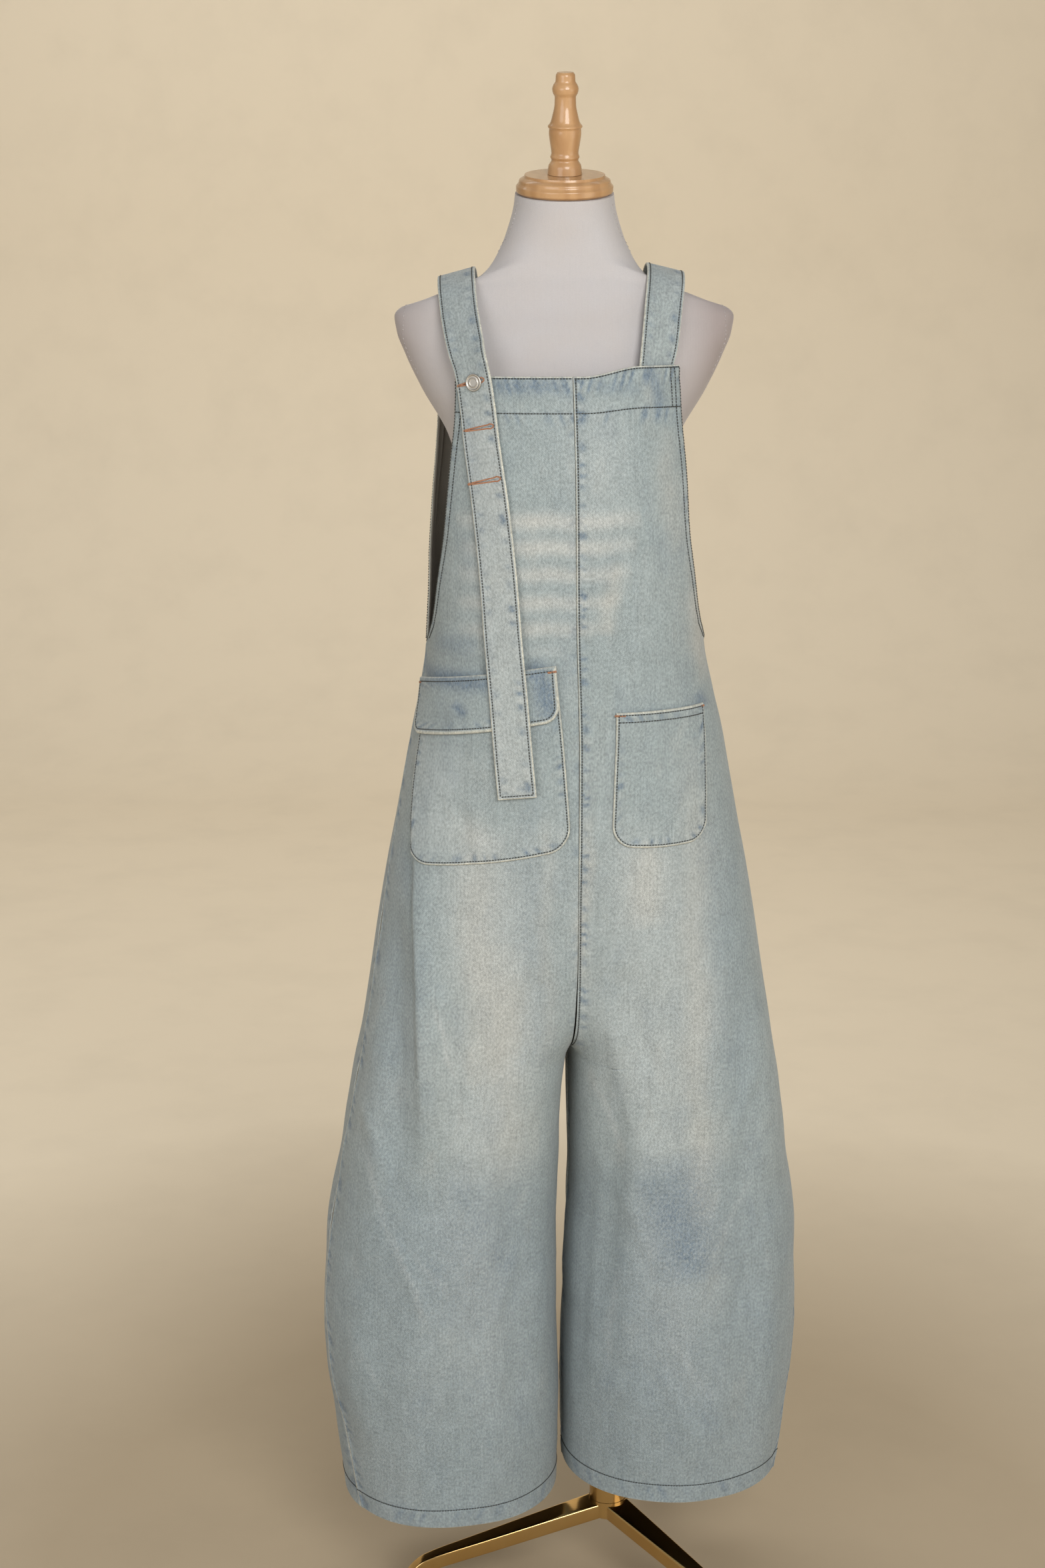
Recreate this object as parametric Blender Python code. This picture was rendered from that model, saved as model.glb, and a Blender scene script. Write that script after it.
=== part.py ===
"""Denim dungarees hung on a limbless dress form with a turned neck cap and a three-legged stand.

Metres, +Z up, the garment's front towards -Y, the origin on the floor under the middle of the part.
Right and left are the wearer's: the right leg lies at -X. The cloth is worked out as plan sections,
one for each height, that run from the centre front or the inseam round the side to the centre back.
Each panel is a thin wall through those sections, and pockets, flap and straps are made from the same
sections, moved out by the layers that they lie on.
"""

import math

import bmesh
import bpy
import mathutils
import numpy as np

# Layers of cloth
SEAM_GAP = 0.0003
DENIM = 0.0020
TURNED_DENIM = 0.0034
STRAP_CLOTH = 0.0030

# The cut of the dungarees
HEM_HEIGHT = {"right": 0.120, "left": 0.140}
HEM_BAND = 0.022
INSEAM_DEPTH = 0.004
UNDERARM_HEIGHT = 1.095
BIB_TOP = 1.378
BIB_RISE = 0.010
BIB_RISE_FROM_TO = (0.010, 0.070)
BIB_FACING = 0.036
BACK_TOP = 1.358
TURN = math.radians(4.5)
SIDES = {"right": -1.0, "left": 1.0}

# Plan sections: half width at the side, depth at the front and back, and how far the middle is moved over
OUTLINE_COLUMNS = ("height", "half_width", "front", "back", "shift")
OUTLINE = (
    (0.100, 0.2465, -0.1160, 0.1000, 0.0000),
    (0.200, 0.2560, -0.1215, 0.1060, 0.0000),
    (0.280, 0.2660, -0.1265, 0.1120, -0.0010),
    (0.340, 0.2680, -0.1280, 0.1140, -0.0010),
    (0.440, 0.2630, -0.1270, 0.1150, 0.0005),
    (0.520, 0.2510, -0.1255, 0.1140, 0.0020),
    (0.600, 0.2365, -0.1260, 0.1150, 0.0030),
    (0.700, 0.2190, -0.1295, 0.1200, 0.0045),
    (0.790, 0.2060, -0.1340, 0.1240, 0.0045),
    (0.900, 0.1860, -0.1370, 0.1250, 0.0045),
    (1.000, 0.1665, -0.1355, 0.1170, 0.0045),
    (1.050, 0.1550, -0.1348, 0.1110, 0.0035),
    (1.095, 0.1475, -0.1340, 0.1060, 0.0020),
    (1.150, 0.1440, -0.1328, 0.1020, 0.0010),
    (1.270, 0.1430, -0.1290, 0.1000, 0.0000),
    (1.400, 0.1400, -0.1160, 0.0950, -0.0030),
)

# Each leg's oval: where its crown lies and how far it reaches inwards. Above the crotch the two
# ovals run into each other and are cut off at the middle, which draws the rise seams.
OVAL_COLUMNS = ("height", "crown", "inner")
OVALS = (
    (0.100, 0.1300, 0.0055),
    (0.210, 0.1320, 0.0015),
    (0.340, 0.1350, 0.0045),
    (0.500, 0.1290, 0.0066),
    (0.600, 0.1190, 0.0050),
    (0.650, 0.1080, 0.0008),
    (0.665, 0.1045, -0.0060),
    (0.680, 0.1000, -0.0180),
    (0.700, 0.0920, -0.0360),
    (0.750, 0.0680, -0.0800),
    (0.800, 0.0420, -0.1250),
    (0.860, 0.0140, -0.1600),
    (0.910, 0.0000, -0.1700),
)

# Roundness of the front and back of a section: 2 is an ellipse, more is squarer
ROUND_COLUMNS = ("height", "front_round", "back_round")
ROUND = (
    (0.100, 2.15, 2.15),
    (0.450, 2.30, 2.25),
    (0.650, 3.10, 2.80),
    (0.700, 2.95, 2.75),
    (0.900, 2.50, 2.50),
    (1.095, 2.50, 2.90),
    (1.250, 2.50, 4.00),
    (1.400, 2.50, 4.50),
)

# Degrees that each side seam is turned towards the front
SEAM_COLUMNS = ("height", "right", "left")
SEAMS = (
    (0.100, 33.0, 24.0),
    (0.200, 26.0, 18.0),
    (0.300, 18.0, 13.0),
    (0.380, 13.0, 5.0),
    (0.550, 12.0, -4.0),
    (0.700, 10.0, -4.0),
    (0.850, 6.0, -3.0),
    (1.000, 1.0, -1.0),
    (1.095, 0.0, 0.0),
)

# The armhole's edges, in degrees round the section from the centre front and from the centre back
ARMHOLE_COLUMNS = ("height", "front_angle", "back_angle")
ARMHOLE = (
    (1.095, 90.0, 90.0),
    (1.105, 80.0, 86.5),
    (1.125, 69.5, 83.0),
    (1.165, 62.0, 76.0),
    (1.220, 54.7, 68.0),
    (1.290, 51.4, 57.0),
    (1.340, 49.0, 52.0),
    (1.400, 48.6, 49.0),
)

# Large folds, as rows of x and z where each starts, x and z where it ends, half width and relief.
# The x is a distance from the garment's middle; a relief below zero is a trough.
FOLDS = {
    ("right", "front"): (
        (0.166, 0.885, 0.160, 0.560, 0.016, 0.0050),
        (0.190, 0.860, 0.190, 0.500, 0.016, -0.0070),
        (0.070, 0.600, 0.055, 0.200, 0.020, -0.0050),
        (0.150, 0.520, 0.180, 0.150, 0.026, 0.0050),
        (0.105, 0.420, 0.115, 0.130, 0.024, -0.0050),
        (0.040, 0.780, 0.075, 0.640, 0.018, -0.0040),
    ),
    ("left", "front"): (
        (0.048, 0.700, 0.036, 0.330, 0.014, -0.0060),
        (0.075, 0.660, 0.062, 0.250, 0.018, 0.0045),
        (0.175, 0.800, 0.190, 0.420, 0.022, -0.0045),
        (0.120, 0.480, 0.140, 0.150, 0.028, 0.0050),
        (0.190, 0.480, 0.195, 0.150, 0.022, -0.0050),
        (0.040, 0.780, 0.080, 0.640, 0.018, -0.0040),
    ),
    ("right", "back"): (
        (0.060, 0.880, 0.120, 0.560, 0.024, -0.0060),
        (0.130, 0.900, 0.170, 0.420, 0.026, 0.0060),
        (0.070, 0.560, 0.060, 0.180, 0.024, -0.0060),
        (0.150, 0.460, 0.150, 0.140, 0.028, -0.0050),
        (0.050, 1.240, 0.080, 0.960, 0.026, 0.0045),
    ),
    ("left", "back"): (
        (0.055, 0.860, 0.110, 0.580, 0.024, -0.0060),
        (0.140, 0.920, 0.180, 0.460, 0.026, 0.0060),
        (0.080, 0.520, 0.065, 0.160, 0.026, -0.0060),
        (0.165, 0.440, 0.160, 0.150, 0.026, -0.0045),
        (0.060, 1.200, 0.085, 0.980, 0.026, 0.0040),
    ),
}

# Rows and columns of each panel's wall
COLUMNS_ACROSS = {"front": 17, "back": 14}
BAND_STEP = 0.0012
FIRST_LEG_ROW = 0.040
LEG_ROWS = 8
RISE_HEIGHTS = (0.630, 0.645, 0.650, 0.657, 0.665, 0.675, 0.690, 0.715, 0.750, 0.800)
BODY_ROWS = 7
ARMHOLE_HEIGHTS = (1.103, 1.118, 1.142, 1.180, 1.235, 1.290)

# Pockets and flap, as rows of the middle's distance from the centre seam and its height, width,
# height, the degrees that the sides lean and the edges slope, how far the lower edge bellies down,
# and the radius of the lower corners
PATCHES = {
    "pocket_large": (0.1003, 0.9767, 0.1735, 0.1740, 4.5, 7.5, 0.0050, 0.024),
    "pocket_flap": (0.1112, 1.0494, 0.1835, 0.0570, 2.0, 8.8, 0.0015, 0.016),
    "pocket_small": (0.0895, 0.9725, 0.1075, 0.1390, -2.0, 0.5, 0.0040, 0.022),
}
PATCH_GRID = {"pocket_large": (7, 12), "pocket_flap": (4, 12), "pocket_small": (7, 10)}
PATCH_LIFT = 0.0009
FLAP_LIFT = PATCH_LIFT + DENIM + 0.0011

# Straps. The shoulder rows are x, y and z; the back and tucked rows are x and z; the hanging rows are
# x, z and how far the strap's middle layer stands off the front's cloth.
STRAP_WIDTH = 0.040
STRAP_SEAT = 0.0009
LONG_STRAP_BACK = ((-0.0990, 1.3180), (-0.1000, 1.3540))
SHORT_STRAP_BACK = ((0.0930, 1.3180), (0.0935, 1.3540))
LONG_STRAP_SHOULDER = (
    (-0.1030, 0.0815, 1.4000),
    (-0.1070, 0.0595, 1.4470),
    (-0.1100, 0.0270, 1.4745),
    (-0.1110, -0.0070, 1.4775),
    (-0.1100, -0.0380, 1.4665),
    (-0.1060, -0.0680, 1.4360),
    (-0.0990, -0.0940, 1.4040),
)
SHORT_STRAP_SHOULDER = (
    (0.0960, 0.0920, 1.4000),
    (0.1000, 0.0640, 1.4510),
    (0.1030, 0.0290, 1.4790),
    (0.1040, -0.0060, 1.4820),
    (0.1030, -0.0360, 1.4720),
    (0.0990, -0.0620, 1.4410),
    (0.0950, -0.0785, 1.4090),
)
LONG_STRAP_HANG = (
    (-0.0925, 1.3860, 0.0034),
    (-0.0900, 1.3720, 0.0028),
    (-0.0870, 1.3500, 0.0024),
    (-0.0830, 1.3150, 0.0024),
    (-0.0740, 1.2500, 0.0030),
    (-0.0660, 1.1780, 0.0044),
    (-0.0605, 1.1150, 0.0076),
    (-0.0550, 1.0550, 0.0100),
    (-0.0510, 0.9980, 0.0096),
    (-0.0475, 0.9550, 0.0084),
)
SHORT_STRAP_TUCKED = ((0.0940, 1.3800), (0.0935, 1.3640), (0.0930, 1.3480))
TUCKED_GAP = 0.0024
STRAP_STEP = 0.020
SHOULDER_TURN_HEIGHT = 1.400
SHOULDER_UPWARDS = 1.6
SHOULDER_SIDEWAYS = 0.30
BUTTON_PLACE = (-0.0887, 1.3720)
BUTTONHOLE_LENGTH = 0.016
BUTTONHOLE_WIDTH = 0.007
BUTTONHOLE_SIDES = 12
BUTTONHOLE_DEPTH = 0.020

# Shank button: rows of radius and height above the strap's face
BUTTON_HEAD = (
    (0.0028, 0.0012),
    (0.0078, 0.0012),
    (0.0087, 0.0020),
    (0.0087, 0.0029),
    (0.0078, 0.0036),
    (0.0064, 0.0032),
)
BUTTON_SHANK_RADIUS = 0.0028
BUTTON_SIDES = 16

# Dress form: rings from the foot of the torso to the top of the neck, as rows of height, half width,
# depth at the front and back, how far the ring droops at its sides and how far it leans back
FORM_RINGS = (
    (0.8450, 0.1400, -0.0880, 0.0900, 0.0000, 0.00),
    (0.8600, 0.1470, -0.0940, 0.0960, 0.0000, 0.00),
    (0.9300, 0.1500, -0.0980, 0.1020, 0.0000, 0.00),
    (1.0100, 0.1270, -0.0900, 0.0930, 0.0000, 0.00),
    (1.1000, 0.1010, -0.0850, 0.0780, 0.0000, 0.00),
    (1.1800, 0.1000, -0.0980, 0.0800, 0.0000, 0.00),
    (1.2350, 0.1030, -0.1130, 0.0840, 0.0000, 0.00),
    (1.2750, 0.1090, -0.1180, 0.0870, 0.0000, 0.00),
    (1.3150, 0.1210, -0.1110, 0.0880, 0.0000, 0.00),
    (1.3600, 0.1470, -0.0980, 0.0870, 0.0000, 0.00),
    (1.3950, 0.1640, -0.0850, 0.0830, 0.0000, 0.00),
    (1.4200, 0.1730, -0.0730, 0.0770, 0.0020, 0.00),
    (1.4420, 0.1755, -0.0610, 0.0640, 0.0080, 0.00),
    (1.4620, 0.1690, -0.0530, 0.0560, 0.0190, 0.00),
    (1.4760, 0.1500, -0.0480, 0.0510, 0.0270, 0.00),
    (1.4870, 0.1240, -0.0470, 0.0490, 0.0300, 0.00),
    (1.4960, 0.0980, -0.0470, 0.0490, 0.0285, 0.02),
    (1.5040, 0.0780, -0.0475, 0.0485, 0.0210, 0.04),
    (1.5140, 0.0650, -0.0485, 0.0480, 0.0090, 0.08),
    (1.5280, 0.0575, -0.0505, 0.0475, 0.0030, 0.13),
    (1.5430, 0.0525, -0.0525, 0.0460, 0.0000, 0.17),
    (1.5578, 0.0505, -0.0550, 0.0440, 0.0000, 0.19),
)
FORM_ROUND = 2.25
FORM_SIDES = 28

# Wooden neck cap and finial, turned: rows of radius and height along their tilted axis
CAP_TILT = math.atan(0.19)
CAP_FOOT = (0.0, -0.0055, 1.5572)
CAP_PROFILE = (
    (0.0470, 0.0000),
    (0.0500, 0.0025),
    (0.0500, 0.0075),
    (0.0480, 0.0095),
    (0.0470, 0.0110),
    (0.0470, 0.0135),
    (0.0440, 0.0155),
    (0.0415, 0.0165),
    (0.0410, 0.0190),
)
FINIAL_PROFILE = (
    (0.0176, 0.0000),
    (0.0172, 0.0085),
    (0.0145, 0.0142),
    (0.0152, 0.0170),
    (0.0143, 0.0203),
    (0.0152, 0.0302),
    (0.0167, 0.0405),
    (0.0160, 0.0443),
    (0.0182, 0.0471),
    (0.0160, 0.0504),
    (0.0128, 0.0584),
    (0.0108, 0.0678),
    (0.0104, 0.0754),
    (0.0128, 0.0796),
    (0.0136, 0.0834),
    (0.0122, 0.0876),
    (0.0098, 0.0905),
    (0.0099, 0.0971),
    (0.0080, 0.0994),
)
TURNED_SIDES = 18

# Stand. The legs' rows are reach from the column, height, half width and half depth.
COLUMN_PLACE = (0.055, -0.035)
COLUMN_RADIUS = 0.021
COLUMN_SIDES = 24
HUB_PROFILE = (
    (0.0200, 0.0875),
    (0.0215, 0.0890),
    (0.0215, 0.1080),
)
LEG_ANGLES = (193.0, 312.5, 73.0)
LEG_SECTIONS = (
    (0.0000, 0.0990, 0.0160, 0.0092),
    (0.0600, 0.0853, 0.0137, 0.0091),
    (0.1400, 0.0668, 0.0106, 0.0087),
    (0.2020, 0.0526, 0.0081, 0.0083),
    (0.2150, 0.0480, 0.0076, 0.0081),
    (0.2280, 0.0365, 0.0075, 0.0078),
    (0.2360, 0.0225, 0.0075, 0.0078),
    (0.2380, 0.0103, 0.0075, 0.0080),
)
LEG_SIDES = 12
LEG_ROUND = 4.0
GLIDE_SIDES = 16
GLIDE_RADIUS = 0.0100
GLIDE_HEIGHT = 0.0100
GLIDE_EDGE = 0.0020

SHARP_ANGLE = math.radians(40)

# Colour, roughness and metallic value of each material
MATERIALS = {
    "washed_denim": ((0.46, 0.56, 0.58), 0.90, 0.0),
    "silver_metal": ((0.72, 0.72, 0.70), 0.30, 1.0),
    "form_cover": ((0.76, 0.74, 0.76), 0.85, 0.0),
    "tan_wood": ((0.72, 0.47, 0.22), 0.35, 0.0),
    "gold_metal": ((0.80, 0.62, 0.34), 0.18, 1.0),
    "glide_rubber": ((0.05, 0.05, 0.05), 0.80, 0.0),
}


def clear_scene():
    for thing in list(bpy.data.objects):
        bpy.data.objects.remove(thing, do_unlink=True)


def material(name):
    """The named material, made once."""
    found = bpy.data.materials.get(name)
    if found:
        return found
    colour, roughness, metallic = MATERIALS[name]
    made = bpy.data.materials.new(name)
    made.use_nodes = True
    shader = made.node_tree.nodes["Principled BSDF"]
    shader.inputs["Base Color"].default_value = (*colour, 1.0)
    shader.inputs["Roughness"].default_value = roughness
    shader.inputs["Metallic"].default_value = metallic
    return made


def add_object(name, points, faces, finish):
    """A mesh object with its normals made to point out, shaded smooth but for its sharp edges."""
    mesh = bpy.data.meshes.new(name)
    mesh.from_pydata(np.asarray(points).tolist(), [], faces)
    shape = bmesh.new()
    shape.from_mesh(mesh)
    bmesh.ops.recalc_face_normals(shape, faces=shape.faces)
    shape.to_mesh(mesh)
    shape.free()
    mesh.shade_smooth()
    mesh.set_sharp_from_angle(angle=SHARP_ANGLE)
    made = bpy.data.objects.new(name, mesh)
    made.data.materials.append(material(finish))
    bpy.context.collection.objects.link(made)
    return made


def wall(name, outer, inner, finish):
    """A closed wall between two grids of points, rows by columns, joined round their edges."""
    rows, columns = outer.shape[:2]
    index = np.arange(rows * columns).reshape(rows, columns)
    faces = []
    for layer in (index, index + rows * columns):
        corners = (layer[:-1, :-1], layer[:-1, 1:], layer[1:, 1:], layer[1:, :-1])
        faces.extend(np.stack(corners, axis=-1).reshape(-1, 4).tolist())
    rim = np.concatenate((index[0, :-1], index[:-1, -1], index[-1, :0:-1], index[:0:-1, 0]))
    after = np.roll(rim, -1)
    under = rows * columns
    faces.extend(np.stack((rim, after, after + under, rim + under), axis=-1).tolist())
    points = np.concatenate((outer.reshape(-1, 3), inner.reshape(-1, 3)))
    return add_object(name, points, faces, finish)


def stack(name, loops, finish):
    """A closed body through loops of points, first to last, with a flat face on each end."""
    count, sides = loops.shape[:2]
    index = np.arange(count * sides).reshape(count, sides)
    beside = np.roll(index, -1, axis=1)
    corners = (index[:-1], beside[:-1], beside[1:], index[1:])
    faces = np.stack(corners, axis=-1).reshape(-1, 4).tolist()
    faces.append(index[0, ::-1].tolist())
    faces.append(index[-1].tolist())
    return add_object(name, loops.reshape(-1, 3), faces, finish)


def slopes(where, values):
    """Slopes at a table's rows that keep a cubic curve between them from overshooting."""
    steps = np.diff(where)
    rates = np.diff(values) / steps
    slope = np.zeros(len(where))
    slope[0], slope[-1] = rates[0], rates[-1]
    same_way = rates[:-1] * rates[1:] > 0
    before = 2 * steps[1:] + steps[:-1]
    after = steps[1:] + 2 * steps[:-1]
    safe_low = np.where(same_way, rates[:-1], 1.0)
    safe_high = np.where(same_way, rates[1:], 1.0)
    mean = (before + after) / (before / safe_low + after / safe_high)
    slope[1:-1] = np.where(same_way, mean, 0.0)
    return slope


def read_table(table, columns, name, where):
    """A named column of a table, read at any place along its first column on a smooth curve."""
    numbers = np.array(table, float)
    at, values = numbers[:, 0], numbers[:, columns.index(name)]
    where = np.clip(where, at[0], at[-1])
    row = np.clip(np.searchsorted(at, where, side="right") - 1, 0, len(at) - 2)
    step = at[row + 1] - at[row]
    t = (where - at[row]) / step
    slope = slopes(at, values)
    start = (1 + 2 * t) * (1 - t) ** 2 * values[row] + t * (1 - t) ** 2 * step * slope[row]
    end = t**2 * (3 - 2 * t) * values[row + 1] + t**2 * (t - 1) * step * slope[row + 1]
    return start + end


def ease(low, high, value):
    """0 below low and 1 above high, with a smooth change between them."""
    t = np.clip((value - low) / (high - low), 0.0, 1.0)
    return t * t * (3 - 2 * t)


def bent(value, roundness):
    """A sine or cosine raised so that it draws a squarer arc, with its sign kept."""
    return np.sign(value) * np.abs(value) ** (2.0 / roundness)


class Section:
    """One side's plan curve at a height, as if the garment weren't turned and on the side of +X.

    It has the points from the front inner edge round the side to the back inner edge, the outward
    normals, the length along the curve, and that length at any angle round from the centre front.
    """

    INNER_STEPS = 60
    OUTER_STEPS = 360

    def __init__(self, height):
        def outline(name):
            return float(read_table(OUTLINE, OUTLINE_COLUMNS, name, height))

        def oval(name):
            return float(read_table(OVALS, OVAL_COLUMNS, name, height))

        self.height = height
        self.shift = outline("shift")
        front, back = outline("front"), outline("back")
        crown, inner = oval("crown"), oval("inner")
        front_round = float(read_table(ROUND, ROUND_COLUMNS, "front_round", height))
        back_round = float(read_table(ROUND, ROUND_COLUMNS, "back_round", height))
        quarter = np.linspace(0, math.pi / 2, self.INNER_STEPS, endpoint=False)
        inwards = crown - (crown - inner) * bent(np.cos(quarter), front_round)
        front_y = INSEAM_DEPTH + (front - INSEAM_DEPTH) * bent(np.sin(quarter), front_round)
        back_y = INSEAM_DEPTH + (back - INSEAM_DEPTH) * bent(np.sin(quarter), back_round)
        self.round_angle = np.linspace(0, math.pi, self.OUTER_STEPS + 1)
        cosine = np.cos(self.round_angle)
        roundness = np.where(cosine > 0, front_round, back_round)
        side_x = crown + (outline("half_width") - crown) * bent(np.sin(self.round_angle), roundness)
        side_y = np.where(cosine > 0, front, -back) * bent(cosine, roundness)
        x = np.concatenate((inwards, side_x, inwards[::-1]))
        y = np.concatenate((front_y, side_y, back_y[::-1]))
        self.points = np.stack((x, y), axis=-1)
        ahead = np.gradient(self.points, axis=0)
        ahead /= np.maximum(np.linalg.norm(ahead, axis=1, keepdims=True), 1e-12)
        self.normals = np.stack((ahead[:, 1], -ahead[:, 0]), axis=-1)
        steps = np.linalg.norm(np.diff(self.points, axis=0), axis=1)
        self.along = np.concatenate(((0.0,), np.cumsum(steps)))
        half = len(x) // 2
        self.front_start = self.first_clear(x[:half], self.along[:half])
        self.back_start = self.first_clear(x[: half - 1 : -1], self.along[: half - 1 : -1])

    def first_clear(self, x, along):
        """The length at which the curve comes clear of the middle, or of the inseam."""
        trim = math.copysign(SEAM_GAP / 2, along[-1] - along[0])
        clear = max(x[0], SEAM_GAP / 2)
        return float(np.interp(clear, x, along)) + (trim if x[0] >= SEAM_GAP / 2 else 0.0)

    def length_at(self, angle):
        """The length along the curve at an angle round from the centre front, in radians."""
        first = self.INNER_STEPS
        lengths = self.along[first : first + self.OUTER_STEPS + 1]
        return float(np.interp(angle, self.round_angle, lengths))

    def at(self, lengths):
        """Points and outward normals at lengths along the curve."""
        pick = [np.interp(lengths, self.along, self.points[:, i]) for i in (0, 1)]
        turn = [np.interp(lengths, self.along, self.normals[:, i]) for i in (0, 1)]
        normals = np.stack(turn, axis=-1)
        normals /= np.linalg.norm(normals, axis=-1, keepdims=True)
        return np.stack(pick, axis=-1), normals

    def place(self, side, plan):
        """Plan points put on their own side, turned with the garment and moved over."""
        x, y = SIDES[side] * plan[..., 0], plan[..., 1]
        turned_x = x * math.cos(TURN) - y * math.sin(TURN) + self.shift
        turned_y = x * math.sin(TURN) + y * math.cos(TURN)
        return np.stack((turned_x, turned_y, np.full(x.shape, self.height)), axis=-1)


def fold_relief(side, face, x, height):
    """How far the large folds push the cloth out at places across a section."""
    total = np.zeros(np.shape(x))
    for row in FOLDS[side, face]:
        x_top, z_top, x_low, z_low, half_width, relief = row
        down = (z_top - height) / (z_top - z_low)
        middle = x_top + (x_low - x_top) * down
        strength = ease(0.0, 0.25, down) * (1 - ease(0.75, 1.0, down))
        total += relief * strength * np.exp(-(((x - middle) / half_width) ** 2))
    return total


def wall_thickness(height, hem, top_band):
    """The cloth's thickness at a height: turned double at the hem and above a facing's lower edge."""
    doubled = height <= hem + HEM_BAND or height >= top_band
    return TURNED_DENIM if doubled else DENIM


def edge_lengths(section, side, face):
    """Where a panel starts and ends along its section."""
    seam_turn = math.radians(float(read_table(SEAMS, SEAM_COLUMNS, side, section.height)))
    if face == "front":
        angle = math.pi / 2 - seam_turn
        if section.height > UNDERARM_HEIGHT:
            armhole = read_table(ARMHOLE, ARMHOLE_COLUMNS, "front_angle", section.height)
            angle = math.radians(float(armhole))
        return section.front_start, section.length_at(angle) - SEAM_GAP / 2
    angle = math.pi / 2 - seam_turn
    if section.height > UNDERARM_HEIGHT:
        armhole = read_table(ARMHOLE, ARMHOLE_COLUMNS, "back_angle", section.height)
        angle = math.pi - math.radians(float(armhole))
    return section.back_start, section.length_at(angle) + SEAM_GAP / 2


def panel_heights(side, face):
    """The heights of a panel's rows: the hem's band, the leg, the rise, the body and the top."""
    hem = HEM_HEIGHT[side]
    band = [hem, hem + HEM_BAND, hem + HEM_BAND + BAND_STEP]
    first = hem + HEM_BAND + FIRST_LEG_ROW
    leg = np.linspace(first, RISE_HEIGHTS[0], LEG_ROWS, endpoint=False)
    body = np.linspace(RISE_HEIGHTS[-1], UNDERARM_HEIGHT, BODY_ROWS + 1)[1:]
    top = BIB_TOP if face == "front" else BACK_TOP
    facing = top - BIB_FACING
    closing = [facing - BAND_STEP, facing, top]
    return [*band, *leg, *RISE_HEIGHTS, *body, *ARMHOLE_HEIGHTS, *closing], hem, facing


def bib_rise(side, face, plan_x, height):
    """How much the bib's upper edge is pulled up where the short strap holds it."""
    if face == "back" or side == "right":
        return np.zeros(np.shape(plan_x))
    near_top = ease(BIB_TOP - BIB_FACING * 2, BIB_TOP, height)
    return BIB_RISE * near_top * ease(*BIB_RISE_FROM_TO, plan_x)


def panel(side, face):
    """One of the four main panels, as a wall from the hem to the bib's or the back's upper edge."""
    heights, hem, top_band = panel_heights(side, face)
    outer, inner = [], []
    for height in heights:
        section = Section(height)
        start, end = edge_lengths(section, side, face)
        plan, normals = section.at(np.linspace(start, end, COLUMNS_ACROSS[face]))
        relief = fold_relief(side, face, plan[:, 0], height)
        thickness = wall_thickness(height, hem, top_band)
        for grid, offset in ((outer, relief), (inner, relief - thickness)):
            moved = plan + normals * offset[:, None]
            moved[:, 0] = np.maximum(moved[:, 0], SEAM_GAP / 2)
            placed = section.place(side, moved)
            placed[:, 2] += bib_rise(side, face, plan[:, 0], height)
            grid.append(placed)
    name = f"{face}_{side}_panel"
    return wall(name, np.array(outer), np.array(inner), "washed_denim")


def patch_outline(name):
    """A pocket's or flap's flat shape: distances across from the centre seam, and heights.

    Its upper edge is straight, its lower edge bellies down and its lower corners are round. The
    columns crowd towards the sides, where each corner's arc lifts the lower edge.
    """
    across, middle, width, tall, lean, slope, belly, corner = PATCHES[name]
    rows, columns = PATCH_GRID[name]
    spread = (1 - np.cos(np.linspace(0, math.pi, columns))) / 2
    u = (spread - 0.5) * width
    from_side = np.minimum(width / 2 - np.abs(u), corner)
    lifted = corner - np.sqrt(np.maximum(corner**2 - (corner - from_side) ** 2, 0.0))
    low = lifted - tall / 2 - belly * (1 - (2 * u / width) ** 2)
    v = low + (tall / 2 - low) * np.linspace(0, 1, rows)[:, None]
    u = np.broadcast_to(u, v.shape)
    lean, slope = math.radians(lean), math.radians(slope)
    return (
        across + u * math.cos(slope) - v * math.sin(lean),
        middle + u * math.sin(slope) + v * math.cos(lean),
    )


def on_front(side, across, heights, lift):
    """Points on a front panel's outer face, moved out, from distances across and heights."""
    places = []
    for distance, height in zip(across, heights):
        section = Section(float(height))
        plan, normal = section.at(np.array([section.front_start + distance]))
        places.append(section.place(side, plan + normal * lift)[0])
    return np.array(places)


def pocket(name, side, lift, thickness):
    """A patch that lies on a front panel."""
    across, heights = patch_outline(name)
    if side == "right":
        across = 2 * PATCHES[name][0] - across
    faces = []
    for distance in (lift + thickness, lift):
        points = on_front(side, across.ravel(), heights.ravel(), distance)
        faces.append(points.reshape(*across.shape, 3))
    return wall(name, faces[0], faces[1], "washed_denim")


def front_row(x, height, lift):
    """The point of the front's outer face that lies at x, moved out, and the way it faces."""
    section = Section(height)
    middle = section.place("left", section.at(section.front_start)[0])[0]
    side = "left" if x > middle else "right"
    reach = section.INNER_STEPS + section.OUTER_STEPS // 2
    return section_row(section, side, slice(0, reach), x, lift)


def back_row(side, x, height, lift):
    """The point of the back's outer face that lies at x, moved out, and the way it faces."""
    section = Section(height)
    first = section.INNER_STEPS + section.OUTER_STEPS // 2
    return section_row(section, side, slice(first, None), x, lift)


def section_row(section, side, stretch, x, lift):
    """A place found by its x on a stretch of a section, as a point and a facing in one row."""
    feet = section.place(side, section.points[stretch])
    tips = section.place(side, section.points[stretch] + section.normals[stretch])
    order = np.argsort(feet[:, 0])
    foot = np.array([np.interp(x, feet[order, 0], feet[order, i]) for i in range(3)])
    facing = np.array([np.interp(x, feet[order, 0], (tips - feet)[order, i]) for i in range(3)])
    facing /= np.linalg.norm(facing)
    return np.concatenate((foot + facing * lift, facing))


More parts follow.
